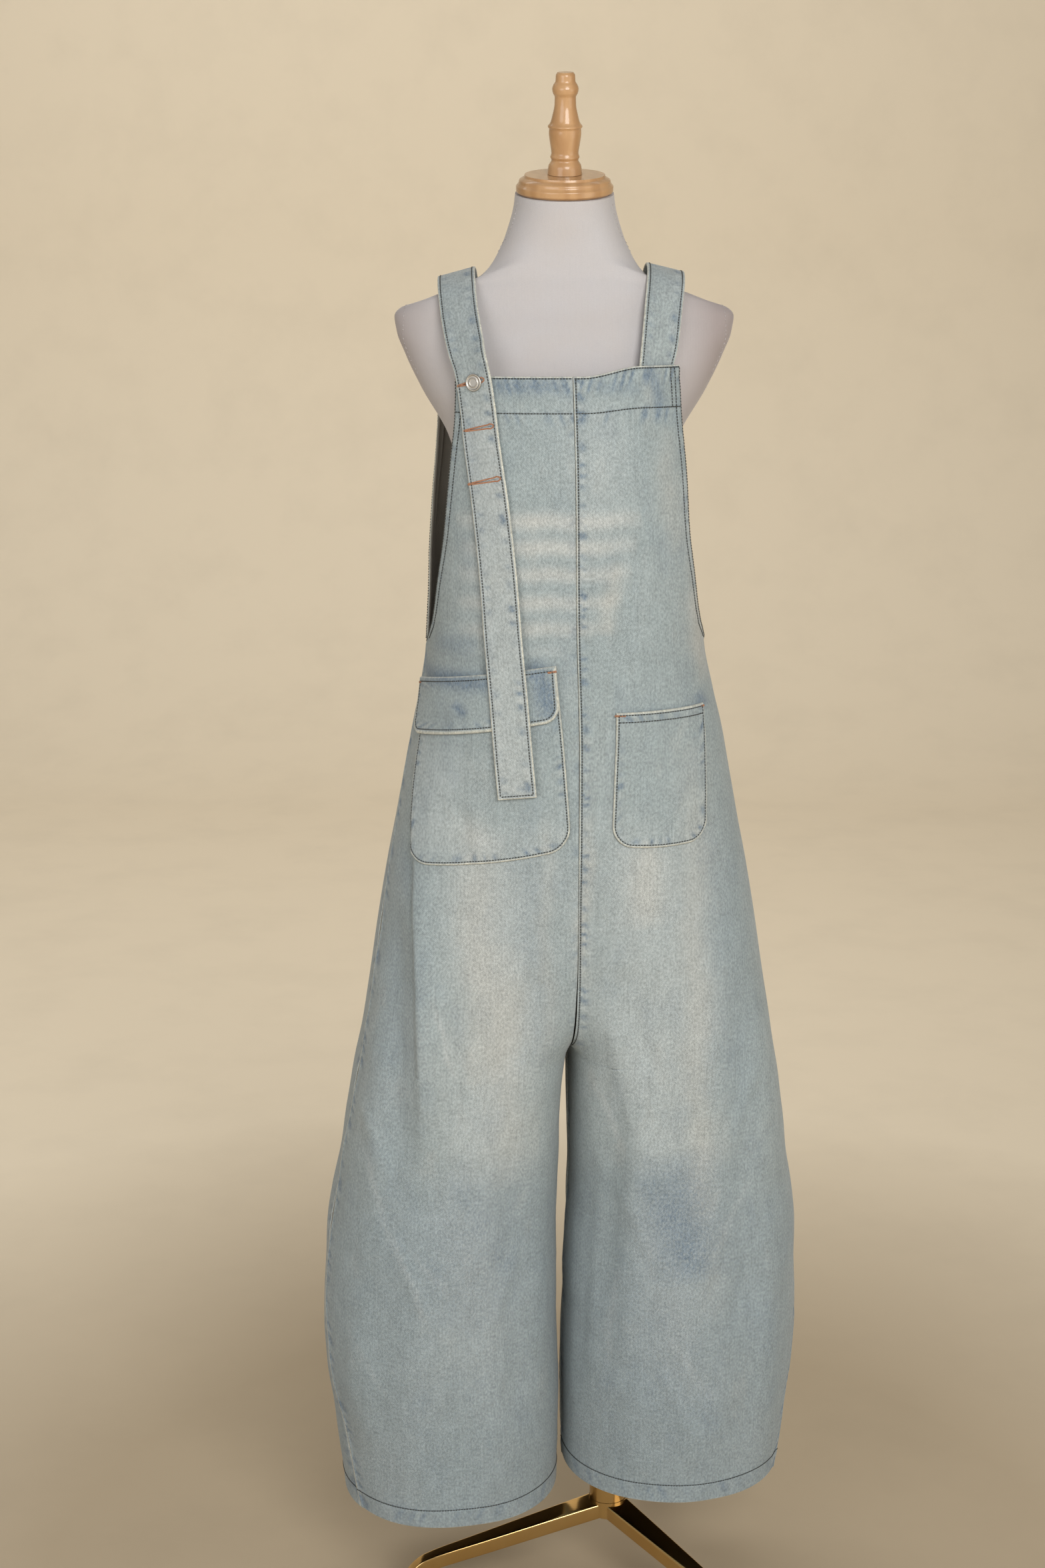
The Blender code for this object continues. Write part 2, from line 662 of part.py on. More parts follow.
def smooth_route(points, step):
    """A smooth curve through a route's points, with a point at every step along it."""
    points = np.array(points)
    gaps = np.linalg.norm(np.diff(points[:, :3], axis=0), axis=1)
    at = np.concatenate(((0.0,), np.cumsum(gaps)))
    count = int(round(at[-1] / step)) + 1
    where = np.linspace(0.0, at[-1], count)
    tangents = np.gradient(points, at, axis=0)
    row = np.clip(np.searchsorted(at, where, side="right") - 1, 0, len(at) - 2)
    span = (at[row + 1] - at[row])[:, None]
    t = ((where - at[row]) / span[:, 0])[:, None]
    start = (1 + 2 * t) * (1 - t) ** 2 * points[row] + t * (1 - t) ** 2 * span * tangents[row]
    end = t**2 * (3 - 2 * t) * points[row + 1] + t**2 * (t - 1) * span * tangents[row + 1]
    return start + end


def shoulder_rows(points):
    """Rows of a route over a shoulder: each point, and the way the strap faces there."""
    points = np.array(points)
    up = np.maximum(points[:, 2] - SHOULDER_TURN_HEIGHT, 0.0) * SHOULDER_UPWARDS
    out = np.stack((points[:, 0] * SHOULDER_SIDEWAYS, points[:, 1], up), axis=-1)
    out /= np.linalg.norm(out, axis=1, keepdims=True)
    return [np.concatenate(pair) for pair in zip(points, out)]


def strap(name, route):
    """A flat strap along a route of points and facings, as two layers of points."""
    line = smooth_route(route, STRAP_STEP)
    centre, out = line[:, :3], line[:, 3:]
    ahead = np.gradient(centre, axis=0)
    ahead /= np.linalg.norm(ahead, axis=1, keepdims=True)
    across = np.cross(ahead, out)
    across /= np.linalg.norm(across, axis=1, keepdims=True)
    out = np.cross(across, ahead)
    offsets = np.linspace(-0.5, 0.5, 3) * STRAP_WIDTH
    grid = centre[:, None, :] + across[:, None, :] * offsets[None, :, None]
    half = out[:, None, :] * STRAP_CLOTH / 2
    return wall(name, grid + half, grid - half, "washed_denim")


def long_strap_route():
    """From the back panel over the right shoulder, and down in front of the bib and the flap."""
    lift = STRAP_SEAT + STRAP_CLOTH / 2
    route = [back_row("right", x, z, lift) for x, z in LONG_STRAP_BACK]
    route.extend(shoulder_rows(LONG_STRAP_SHOULDER))
    route.extend(front_row(x, z, stand_off) for x, z, stand_off in LONG_STRAP_HANG)
    return route


def short_strap_route():
    """From the back panel over the left shoulder, and in behind the bib's facing."""
    lift = STRAP_SEAT + STRAP_CLOTH / 2
    behind = -(TURNED_DENIM + TUCKED_GAP + STRAP_CLOTH / 2)
    route = [back_row("left", x, z, lift) for x, z in SHORT_STRAP_BACK]
    route.extend(shoulder_rows(SHORT_STRAP_SHOULDER))
    route.extend(front_row(x, z, behind) for x, z in SHORT_STRAP_TUCKED)
    return route


def strap_face_lift(height):
    """How far the long strap's outer face stands off the front's cloth at a height."""
    rows = np.array(LONG_STRAP_HANG)[::-1]
    return float(np.interp(height, rows[:, 1], rows[:, 2])) + STRAP_CLOTH / 2


def button_frame(lift):
    """The button's place on the front, moved out, and the ways across, up and out there."""
    row = front_row(*BUTTON_PLACE, lift)
    out = row[3:]
    across = np.cross((0.0, 0.0, 1.0), out)
    across /= np.linalg.norm(across)
    return row[:3], np.stack((across, np.cross(out, across), out))


def cut_buttonhole(target):
    """The slit that the button's shank passes through, opened to the shank's width."""
    place, frame = button_frame(strap_face_lift(BUTTON_PLACE[1]))
    radius = BUTTONHOLE_WIDTH / 2
    bpy.ops.mesh.primitive_cylinder_add(
        vertices=BUTTONHOLE_SIDES, radius=radius, depth=BUTTONHOLE_DEPTH
    )
    cutter = bpy.context.object
    cutter.name = "buttonhole_cutter"
    cutter.scale = (BUTTONHOLE_LENGTH / BUTTONHOLE_WIDTH, 1.0, 1.0)
    cutter.location = place
    cutter.rotation_euler = mathutils.Matrix(frame.T.tolist()).to_euler()
    cutter.hide_render = True
    cutter.display_type = "WIRE"
    cut = target.modifiers.new("buttonhole", "BOOLEAN")
    cut.operation = "DIFFERENCE"
    cut.object = cutter
    cut.solver = "EXACT"


def turned_loops(profile, sides):
    """Rings of a turned piece on its own axis, from a table of radii and heights."""
    angle = np.linspace(0, 2 * math.pi, sides, endpoint=False)
    radius, height = np.array(profile).T
    x = radius[:, None] * np.cos(angle)
    y = radius[:, None] * np.sin(angle)
    return np.stack((x, y, np.broadcast_to(height[:, None], x.shape)), axis=-1)


def tilted(loops, foot, tilt):
    """Loops leaned forwards by an angle, and moved to their foot."""
    x, y, z = np.moveaxis(loops, -1, 0)
    leaned = (x, y * math.cos(tilt) - z * math.sin(tilt), y * math.sin(tilt) + z * math.cos(tilt))
    return np.stack(leaned, axis=-1) + np.array(foot)


def button():
    """The shank button: a dished head in front of the strap, on a shank that reaches the bib."""
    foot, frame = button_frame(SEAM_GAP)
    on_strap = strap_face_lift(BUTTON_PLACE[1]) - SEAM_GAP
    profile = [(BUTTON_SHANK_RADIUS, 0.0)]
    profile.extend((radius, on_strap + height) for radius, height in BUTTON_HEAD)
    loops = turned_loops(profile, BUTTON_SIDES)
    stack("shank_button", loops @ frame + foot, "silver_metal")


def form_torso():
    """The torso, its shoulders and its neck, through rings that droop over the shoulders."""
    angle = np.linspace(0, 2 * math.pi, FORM_SIDES, endpoint=False)
    cosine, sine = np.cos(angle), np.sin(angle)
    loops = []
    for height, half_width, front, back, droop, tilt in FORM_RINGS:
        x = half_width * bent(cosine, FORM_ROUND)
        y = np.where(sine < 0, -front, back) * bent(sine, FORM_ROUND)
        loops.append(np.stack((x, y, height - droop * cosine**2 + tilt * y), axis=-1))
    return stack("form_torso", np.array(loops), "form_cover")


def neck_cap_and_finial():
    """The turned wooden cap on the neck, and the turned finial on the cap."""
    cap = turned_loops(CAP_PROFILE, TURNED_SIDES)
    stack("neck_cap", tilted(cap, CAP_FOOT, CAP_TILT), "tan_wood")
    rise = CAP_PROFILE[-1][1] + SEAM_GAP
    finial = turned_loops(FINIAL_PROFILE, TURNED_SIDES) + np.array((0.0, 0.0, rise))
    stack("neck_finial", tilted(finial, CAP_FOOT, CAP_TILT), "tan_wood")


def stand_column():
    """The round column that carries the form, up through the left leg."""
    foot = HUB_PROFILE[-1][1] + SEAM_GAP
    head = FORM_RINGS[0][0] - SEAM_GAP
    loops = turned_loops(((COLUMN_RADIUS, foot), (COLUMN_RADIUS, head)), COLUMN_SIDES)
    stack("stand_column", loops + np.array((*COLUMN_PLACE, 0.0)), "gold_metal")


def stand_leg(angle):
    """Sections of one leg, from inside the hub out to its tip, which is bent down to the glide."""
    reach, height, half_width, half_depth = np.array(LEG_SECTIONS).T
    along_reach, along_height = np.gradient(reach), np.gradient(height)
    along_reach[-1], along_height[-1] = 0.0, -1.0
    length = np.hypot(along_reach, along_height)
    lean_reach, lean_height = -along_height / length, along_reach / length
    around = np.linspace(0, 2 * math.pi, LEG_SIDES, endpoint=False)
    sideways = half_width[:, None] * bent(np.cos(around), LEG_ROUND)
    upwards = half_depth[:, None] * bent(np.sin(around), LEG_ROUND)
    out = reach[:, None] + upwards * lean_reach[:, None]
    z = height[:, None] + upwards * lean_height[:, None]
    x = COLUMN_PLACE[0] + out * math.cos(angle) - sideways * math.sin(angle)
    y = COLUMN_PLACE[1] + out * math.sin(angle) + sideways * math.cos(angle)
    return np.stack((x, y, z), axis=-1)


def stand_base():
    """The hub and its three legs, joined into one casting."""
    hub = turned_loops(HUB_PROFILE, COLUMN_SIDES) + np.array((*COLUMN_PLACE, 0.0))
    base = stack("stand_base", hub, "gold_metal")
    for number, degrees in enumerate(LEG_ANGLES, 1):
        leg = stack(f"leg_{number}_guide", stand_leg(math.radians(degrees)), "gold_metal")
        leg.hide_render = True
        leg.display_type = "WIRE"
        join = base.modifiers.new(leg.name, "BOOLEAN")
        join.operation = "UNION"
        join.solver = "EXACT"
        join.object = leg
    return base


def leg_glides():
    """A round glide under each leg's tip, flat on the floor."""
    reach = LEG_SECTIONS[-1][0]
    for number, degrees in enumerate(LEG_ANGLES, 1):
        angle = math.radians(degrees)
        profile = (
            (GLIDE_RADIUS, 0.0),
            (GLIDE_RADIUS, GLIDE_HEIGHT - GLIDE_EDGE),
            (GLIDE_RADIUS - GLIDE_EDGE, GLIDE_HEIGHT),
        )
        x = COLUMN_PLACE[0] + reach * math.cos(angle)
        y = COLUMN_PLACE[1] + reach * math.sin(angle)
        loops = turned_loops(profile, GLIDE_SIDES) + np.array((x, y, 0.0))
        stack(f"leg_glide_{number}", loops, "glide_rubber")


def main():
    clear_scene()
    for side in SIDES:
        panel(side, "front")
        panel(side, "back")
    pocket("pocket_large", "right", PATCH_LIFT, DENIM)
    pocket("pocket_flap", "right", FLAP_LIFT, STRAP_CLOTH)
    pocket("pocket_small", "left", PATCH_LIFT, DENIM)
    long_strap = strap("strap_long", long_strap_route())
    strap("strap_short", short_strap_route())
    cut_buttonhole(long_strap)
    button()
    form_torso()
    neck_cap_and_finial()
    stand_column()
    stand_base()
    leg_glides()


main()
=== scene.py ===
"""Looks of a pair of washed denim dungarees on a dress form with a three-legged stand.

Laid out as a Blender add-on and run as a script. Metres, +Z up, the garment's front towards -Y and the
floor at z = 0, in the packed model's own frame. Right and left are the wearer's: the right leg is at -X.

The cloth is worked out as plan sections, one for each height, that run from the centre front or the
inseam round the side to the centre back. Each panel, pocket and flap is a function of two parameters on
those sections, each strap is a profile carried along a path, and threads follow the same functions.
"""

import math

import bpy
import numpy as np
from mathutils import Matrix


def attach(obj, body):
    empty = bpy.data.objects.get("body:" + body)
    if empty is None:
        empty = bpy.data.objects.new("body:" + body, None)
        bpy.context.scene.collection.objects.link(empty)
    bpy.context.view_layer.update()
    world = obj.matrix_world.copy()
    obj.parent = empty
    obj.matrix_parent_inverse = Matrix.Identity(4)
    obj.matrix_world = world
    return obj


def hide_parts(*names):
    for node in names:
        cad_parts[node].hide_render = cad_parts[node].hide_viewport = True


bl_info = {
    "name": "Denim dungarees",
    "version": (1, 0, 0),
    "blender": (4, 5, 0),
    "location": "View3D > Sidebar > Dungarees",
    "description": "Cloth, threads, dress form, stand and studio for a pair of denim dungarees",
    "category": "Add Mesh",
}

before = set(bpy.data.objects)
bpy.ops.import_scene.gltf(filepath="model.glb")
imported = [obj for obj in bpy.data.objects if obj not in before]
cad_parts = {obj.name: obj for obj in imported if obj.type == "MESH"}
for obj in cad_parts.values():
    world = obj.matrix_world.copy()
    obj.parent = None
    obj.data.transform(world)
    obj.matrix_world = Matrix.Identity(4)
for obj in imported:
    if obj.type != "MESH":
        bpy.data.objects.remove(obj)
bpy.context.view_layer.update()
MM = 0.001

# The cut of the dungarees, as in the packed solids
SEAM_GAP = 0.0003
HEM_HEIGHT = {"right": 0.120, "left": 0.140}
HEM_BAND = 0.022
INSEAM_DEPTH = 0.004
UNDERARM_HEIGHT = 1.095
BIB_TOP = 1.378
BIB_RISE = 0.010
BIB_RISE_FROM_TO = (0.010, 0.070)
BIB_FACING = 0.036
BACK_TOP = 1.358
TOP = {"front": BIB_TOP, "back": BACK_TOP}
TURN = math.radians(4.5)
SIDES = {"right": -1.0, "left": 1.0}
FACES = {"front": 1.0, "back": -1.0}
PANELS = (("right", "front"), ("left", "front"), ("right", "back"), ("left", "back"))

# Plan sections: half width at the side, depth at the front and back, and how far the middle is moved over
OUTLINE_COLUMNS = ("height", "half_width", "front", "back", "shift")
OUTLINE = (
    (0.1, 0.2465, -0.116, 0.1, 0.0), (0.2, 0.256, -0.1215, 0.106, 0.0),
    (0.28, 0.266, -0.1265, 0.112, -0.001), (0.34, 0.268, -0.128, 0.114, -0.001),
    (0.44, 0.263, -0.127, 0.115, 0.0005), (0.52, 0.251, -0.1255, 0.114, 0.002),
    (0.6, 0.2365, -0.126, 0.115, 0.003), (0.7, 0.219, -0.1295, 0.12, 0.0045),
    (0.79, 0.206, -0.134, 0.124, 0.0045), (0.9, 0.186, -0.137, 0.125, 0.0045),
    (1.0, 0.1665, -0.1355, 0.117, 0.0045), (1.05, 0.155, -0.1348, 0.111, 0.0035),
    (1.095, 0.1475, -0.134, 0.106, 0.002), (1.15, 0.144, -0.1328, 0.102, 0.001),
    (1.27, 0.143, -0.129, 0.1, 0.0), (1.4, 0.14, -0.116, 0.095, -0.003),
)

# Each leg's oval: where its crown lies and how far it reaches inwards. Above the crotch the ovals run
# into each other and are cut off at the middle, which draws the rise seams.
OVAL_COLUMNS = ("height", "crown", "inner")
OVALS = (
    (0.1, 0.13, 0.0055), (0.21, 0.132, 0.0015), (0.34, 0.135, 0.0045), (0.5, 0.129, 0.0066),
    (0.6, 0.119, 0.005), (0.65, 0.108, 0.0008), (0.665, 0.1045, -0.006), (0.68, 0.1, -0.018),
    (0.7, 0.092, -0.036), (0.75, 0.068, -0.08), (0.8, 0.042, -0.125), (0.86, 0.014, -0.16),
    (0.91, 0.0, -0.17),
)

# Roundness of the front and back of a section: 2 is an ellipse, more is squarer
ROUND_COLUMNS = ("height", "front_round", "back_round")
ROUND = (
    (0.1, 2.15, 2.15), (0.45, 2.3, 2.25), (0.65, 3.1, 2.8), (0.7, 2.95, 2.75), (0.9, 2.5, 2.5),
    (1.095, 2.5, 2.9), (1.25, 2.5, 4.0), (1.4, 2.5, 4.5),
)

# Degrees that each side seam is turned towards the front
SEAM_COLUMNS = ("height", "right", "left")
SEAMS = (
    (0.1, 33.0, 24.0), (0.2, 26.0, 18.0), (0.3, 18.0, 13.0), (0.38, 13.0, 5.0), (0.55, 12.0, -4.0),
    (0.7, 10.0, -4.0), (0.85, 6.0, -3.0), (1.0, 1.0, -1.0), (1.095, 0.0, 0.0),
)

# The armhole's edges, in degrees round the section from the centre front and from the centre back
ARMHOLE_COLUMNS = ("height", "right_front", "left_front", "right_back", "left_back")
ARMHOLE = (
    (1.095, 90.0, 90.0, 90.0, 90.0), (1.105, 85.0, 80.0, 86.5, 86.5), (1.125, 77.0, 69.5, 83.0, 83.0),
    (1.165, 70.5, 62.0, 76.0, 76.0), (1.22, 62.5, 54.7, 68.0, 68.0), (1.29, 56.2, 51.4, 57.0, 57.0),
    (1.34, 52.0, 49.0, 52.0, 52.0), (1.4, 50.2, 48.6, 49.0, 49.0),
)

# Large folds, as rows of x and z where each starts, x and z where it ends, half width and relief.
# The x is a distance from the garment's middle; a relief below zero is a trough.
FOLDS = {
    ("right", "front"): (
        (0.166, 0.885, 0.16, 0.56, 0.016, 0.005), (0.19, 0.86, 0.19, 0.5, 0.016, -0.007),
        (0.07, 0.6, 0.055, 0.2, 0.02, -0.005), (0.15, 0.52, 0.18, 0.15, 0.026, 0.005),
        (0.105, 0.42, 0.115, 0.13, 0.024, -0.005), (0.04, 0.78, 0.075, 0.64, 0.018, -0.004),
    ),
    ("left", "front"): (
        (0.048, 0.7, 0.036, 0.33, 0.014, -0.006), (0.075, 0.66, 0.062, 0.25, 0.018, 0.0045),
        (0.175, 0.8, 0.19, 0.42, 0.022, -0.0045), (0.12, 0.48, 0.14, 0.15, 0.028, 0.005),
        (0.19, 0.48, 0.195, 0.15, 0.022, -0.005), (0.04, 0.78, 0.08, 0.64, 0.018, -0.004),
    ),
    ("right", "back"): (
        (0.06, 0.88, 0.12, 0.56, 0.024, -0.006), (0.13, 0.9, 0.17, 0.42, 0.026, 0.006),
        (0.07, 0.56, 0.06, 0.18, 0.024, -0.006), (0.15, 0.46, 0.15, 0.14, 0.028, -0.005),
        (0.05, 1.24, 0.08, 0.96, 0.026, 0.0045),
    ),
    ("left", "back"): (
        (0.055, 0.86, 0.11, 0.58, 0.024, -0.006), (0.14, 0.92, 0.18, 0.46, 0.026, 0.006),
        (0.08, 0.52, 0.065, 0.16, 0.026, -0.006), (0.165, 0.44, 0.16, 0.15, 0.026, -0.0045),
        (0.06, 1.2, 0.085, 0.98, 0.026, 0.004),
    ),
}

# Finer creases, as rows of x and z where each starts, x and z where it ends, the half widths towards
# the middle and towards the side, and relief
CREASES = {
    ("right", "front"): (
        (0.16, 1.03, 0.1655, 0.54, 0.03, 0.0036, 0.0096),
        (0.195, 0.48, 0.147, 0.362, 0.005, 0.01, 0.0028), (0.17, 0.61, 0.15, 0.56, 0.004, 0.008, 0.0013),
        (0.225, 0.62, 0.195, 0.52, 0.006, 0.011, 0.0028), (0.23, 0.37, 0.24, 0.25, 0.007, 0.009, 0.0028),
        (0.095, 0.57, 0.125, 0.45, 0.008, 0.006, -0.0018), (0.05, 0.46, 0.09, 0.34, 0.007, 0.006, 0.002),
        (0.122, 0.96, 0.108, 0.86, 0.007, 0.009, -0.0014),
        (0.142, 0.76, 0.124, 0.65, 0.0032, 0.009, 0.0026),
        (0.03, 0.64, 0.026, 0.24, 0.008, 0.016, 0.0022), (0.205, 0.72, 0.215, 0.44, 0.01, 0.014, 0.0025),
        (0.225, 0.43, 0.22, 0.16, 0.012, 0.016, 0.003), (0.085, 0.33, 0.08, 0.13, 0.02, 0.014, 0.002),
    ),
    ("left", "front"): (
        (0.039, 1.1, 0.014, 0.885, 0.006, 0.009, -0.0026),
        (0.008, 0.91, 0.01, 0.6, 0.009, 0.021, -0.0052), (0.03, 0.72, 0.062, 0.57, 0.005, 0.012, 0.0026),
        (0.05, 0.52, 0.095, 0.42, 0.006, 0.009, 0.002), (0.2, 0.66, 0.165, 0.54, 0.009, 0.006, 0.0022),
        (0.175, 0.47, 0.14, 0.35, 0.006, 0.008, -0.0018), (0.095, 0.32, 0.14, 0.21, 0.007, 0.008, 0.002),
        (0.042, 0.72, 0.04, 0.56, 0.005, 0.02, 0.003), (0.033, 0.58, 0.027, 0.24, 0.0045, 0.017, 0.003),
        (0.013, 0.48, 0.011, 0.17, 0.004, 0.009, 0.0016), (0.148, 0.74, 0.162, 0.36, 0.03, 0.02, 0.0018),
        (0.215, 0.5, 0.225, 0.17, 0.014, 0.016, 0.0026), (0.07, 0.31, 0.076, 0.15, 0.016, 0.022, 0.0022),
    ),
    ("right", "back"): (
        (0.045, 0.8, 0.09, 0.62, 0.01, 0.024, 0.003), (0.03, 0.6, 0.028, 0.22, 0.008, 0.018, 0.0024),
        (0.19, 0.7, 0.205, 0.38, 0.014, 0.018, 0.0026), (0.11, 1.06, 0.125, 0.9, 0.012, 0.02, 0.0018),
    ),
    ("left", "back"): (
        (0.05, 0.79, 0.095, 0.62, 0.01, 0.024, 0.003), (0.032, 0.6, 0.03, 0.22, 0.008, 0.018, 0.0024),
        (0.195, 0.7, 0.21, 0.38, 0.014, 0.018, 0.0026), (0.115, 1.05, 0.13, 0.9, 0.012, 0.02, 0.0018),
    ),
}

# Rows and columns of a panel: offsets from an edge or from a stitched line, and the even steps between
EDGE_OFFSETS = (0.0, 0.3, 0.8, 1.5, 2.3, 3.2, 4.0, 4.8, 6.0, 7.5, 8.5, 9.6, 12.0)
LINE_OFFSETS = (-1.8, -0.9, 0.0, 0.9, 1.8)
RISE_ROWS = (0.6500, 0.6512, 0.6520, 0.6528, 0.6538, 0.6550, 0.6565, 0.6582, 0.6602, 0.6626, 0.6655)
ROW_STEP = 0.0036
LEAST_ROW_STEP = 0.00024
MIDDLE_COLUMNS = 74
LOOKUP_STEP = 0.004
LOOKUP_REACH = 0.470
LEAST_COSINE = 0.70
GRAIN_PLACE = 0.100

# How each edge of a panel is worked, as rows of the edge, the heights between which it is, and, in
# millimetres: the turned ridge's width and height, the worn cream edge's width and its strength, and
# the inset, reach, length and height of the puckers
SHARED_WORK = (
    ("outer", 1.095, 1.4, 8.5, 0.45, 1.4, 0.85, 5.0, 4.0, 13.0, 0.2),
    ("hem", 0.1, 1.4, 22.0, 0.3, 1.2, 0.45, 14.0, 8.0, 17.0, 0.2),
    ("top", 0.1, 1.4, 36.0, 0.2, 1.3, 0.8, 8.0, 7.0, 11.5, 0.62),
    ("top", 0.1, 1.4, 36.0, 0.0, 0.1, 0.0, 41.0, 6.0, 15.0, 0.32),
)
PANEL_WORK = {
    ("right", "front"): (
        ("inner", 0.66, 1.4, 1.0, 0.0, 0.5, 0.1, 3.0, 4.0, 21.0, 0.12),
        ("inner", 0.1, 0.66, 2.4, 0.25, 1.2, 0.55, 6.0, 6.0, 19.0, 0.3),
        ("outer", 0.1, 1.095, 4.6, 1.0, 2.4, 1.0, 9.0, 6.5, 17.0, 0.55),
    ),
    ("left", "front"): (
        ("inner", 0.86, 1.4, 2.8, 0.75, 1.1, 0.62, 6.6, 3.8, 13.0, 0.66),
        ("inner", 0.66, 0.86, 2.8, 0.45, 0.8, 0.16, 6.6, 3.8, 15.0, 0.58),
        ("inner", 0.1, 0.66, 3.4, 0.7, 2.4, 0.9, 8.0, 6.0, 19.0, 0.45),
        ("outer", 0.1, 1.095, 4.6, 1.0, 2.2, 0.95, 9.0, 6.5, 17.0, 0.55),
    ),
    ("right", "back"): (
        ("inner", 0.66, 1.4, 1.0, 0.0, 0.5, 0.1, 3.0, 4.0, 21.0, 0.12),
        ("inner", 0.1, 0.66, 2.4, 0.25, 1.2, 0.55, 6.0, 6.0, 19.0, 0.3),
        ("outer", 0.1, 1.095, 2.0, 0.1, 0.8, 0.3, 8.0, 6.5, 19.0, 0.4),
    ),
    ("left", "back"): (
        ("inner", 0.66, 1.4, 8.6, 0.9, 1.5, 0.9, 13.0, 5.0, 19.0, 0.42),
        ("inner", 0.1, 0.66, 2.4, 0.25, 1.2, 0.55, 6.0, 6.0, 19.0, 0.35),
        ("outer", 0.1, 1.095, 2.0, 0.1, 0.8, 0.3, 8.0, 6.5, 19.0, 0.4),
    ),
}

# Stitched lines of the panels: edge, inset in millimetres, and the heights between which they run
SHARED_LINES = (
    ("outer", 1.5, 1.098, 1.4), ("outer", 8.5, 1.104, 1.4), ("top", 2.0, 0.0, 0.0),
    ("top", 36.0, 0.0, 0.0), ("hem", 22.0, 0.0, 0.0),
)
PANEL_LINES = {
    ("right", "front"): (),
    ("left", "front"): (("inner", 2.5, 0.664, 1.4), ("outer", 14.0, 1.342, 1.4)),
    ("right", "back"): (),
    ("left", "back"): (("inner", 1.8, 0.664, 1.4), ("inner", 7.5, 0.664, 1.4)),
}
GROOVE_DEPTH = 0.35 * MM
GROOVE_WIDTH = 0.75 * MM

# Washed-out, blue and beige streaks, as rows of x and z at their two ends, half width and strength. Two of
# the front's blue rows hold painted shade, marked below.
FRONT_PALE = (
    (-0.068, 0.93, -0.082, 0.52, 0.062, 0.5), (-0.088, 0.62, -0.11, 0.24, 0.05, 0.3),
    (0.074, 0.95, 0.104, 0.53, 0.062, 0.48), (0.104, 0.6, 0.125, 0.26, 0.05, 0.25),
    (-0.11, 1.234, 0.08, 1.2365, 0.0084, 0.72), (-0.11, 1.207, 0.07, 1.211, 0.0084, 0.7),
    (-0.112, 1.1805, 0.066, 1.184, 0.0078, 0.66), (-0.11, 1.1515, 0.058, 1.156, 0.0078, 0.62),
    (-0.108, 1.1235, 0.05, 1.13, 0.0076, 0.52), (-0.104, 1.103, 0.01, 1.105, 0.006, 0.34),
    (0.03, 1.36, 0.045, 1.23, 0.036, 0.25), (-0.214, 0.56, -0.186, 0.48, 0.0028, 0.45),
    (-0.192, 0.49, -0.142, 0.36, 0.0026, 0.55), (-0.165, 0.46, -0.12, 0.395, 0.0024, 0.35),
    (-0.235, 0.36, -0.19, 0.27, 0.003, 0.35), (-0.141, 0.74, -0.112, 0.65, 0.0024, 0.45),
    (0.03, 0.65, 0.066, 0.545, 0.003, 0.45), (0.06, 0.42, 0.052, 0.3, 0.004, 0.35),
    (0.205, 0.52, 0.16, 0.43, 0.003, 0.35), (0.12, 0.35, 0.165, 0.26, 0.003, 0.3),
    (0.128, 1.29, 0.14, 1.08, 0.012, 0.5), (-0.12, 1.02, -0.124, 0.89, 0.03, 0.25),
    (-0.105, 0.915, -0.06, 0.905, 0.01, 0.4),
)
FRONT_BLUE = (
    (0.116, 0.56, 0.138, 0.41, 0.038, 0.56), (-0.078, 0.56, -0.105, 0.36, 0.06, 0.18),
    # The first row here is mostly painted shade, the rest the denim's own darker tone: the strip outside
    # the right leg's big fold, towards its side seam
    (-0.168, 0.9, -0.19, 0.5, 0.03, 0.26), (0.16, 0.94, 0.196, 0.52, 0.03, 0.22),
    (-0.082, 1.37, 0.006, 1.366, 0.008, 0.78), (0.02, 1.37, 0.075, 1.364, 0.007, 0.48),
    (0.086, 1.396, 0.092, 1.33, 0.0066, 0.8), (0.136, 1.054, 0.146, 1.036, 0.006, 0.95),
    # The first row here is painted shade and unwashed blue together: the dark zone on the bib just above
    # the flap
    (-0.135, 1.103, -0.085, 1.109, 0.011, 0.5), (-0.146, 1.069, -0.074, 1.071, 0.009, 1.1),
    (-0.031, 1.098, -0.016, 1.036, 0.0105, 1.05), (-0.164, 1.083, -0.141, 1.069, 0.008, 0.85),
    (-0.116, 1.048, -0.104, 1.036, 0.006, 1.0), (-0.034, 0.9, -0.024, 0.66, 0.02, 0.2),
    (0.045, 0.42, 0.16, 0.2, 0.06, 0.12),
)
FRONT_BEIGE = (
    (0.133, 1.01, 0.148, 0.48, 0.017, 0.5), (0.148, 0.6, 0.162, 0.36, 0.016, 0.28),
    (0.046, 1.196, 0.044, 1.12, 0.01, 0.5), (-0.11, 1.234, 0.08, 1.2365, 0.008, 0.52),
    (-0.11, 1.207, 0.07, 1.211, 0.008, 0.5), (-0.112, 1.1805, 0.066, 1.184, 0.0074, 0.45),
    (-0.11, 1.1515, 0.058, 1.156, 0.0074, 0.45), (-0.108, 1.1235, 0.05, 1.13, 0.0072, 0.38),
    (0.08, 0.905, 0.088, 0.81, 0.02, 0.6), (-0.098, 0.94, -0.078, 0.64, 0.022, 0.55),
    (-0.056, 0.8, -0.06, 0.52, 0.02, 0.4), (-0.02, 0.94, -0.016, 0.66, 0.008, 0.3),
    (0.024, 0.94, 0.02, 0.74, 0.007, 0.5), (0.136, 1.2, 0.148, 1.06, 0.01, 0.7),
    (0.1, 1.33, 0.112, 1.2, 0.012, 0.35),
)
BACK_PALE = (
    (-0.078, 1.02, -0.088, 0.5, 0.056, 0.75), (0.082, 1.01, 0.086, 0.52, 0.056, 0.75),
    (-0.1, 0.6, -0.112, 0.22, 0.05, 0.3), (0.1, 0.6, 0.112, 0.22, 0.05, 0.3),
    (-0.08, 1.13, 0.09, 1.133, 0.006, 0.35), (-0.085, 1.104, 0.08, 1.106, 0.0055, 0.3),
    (0.02, 1.32, 0.03, 1.18, 0.04, 0.3),
)
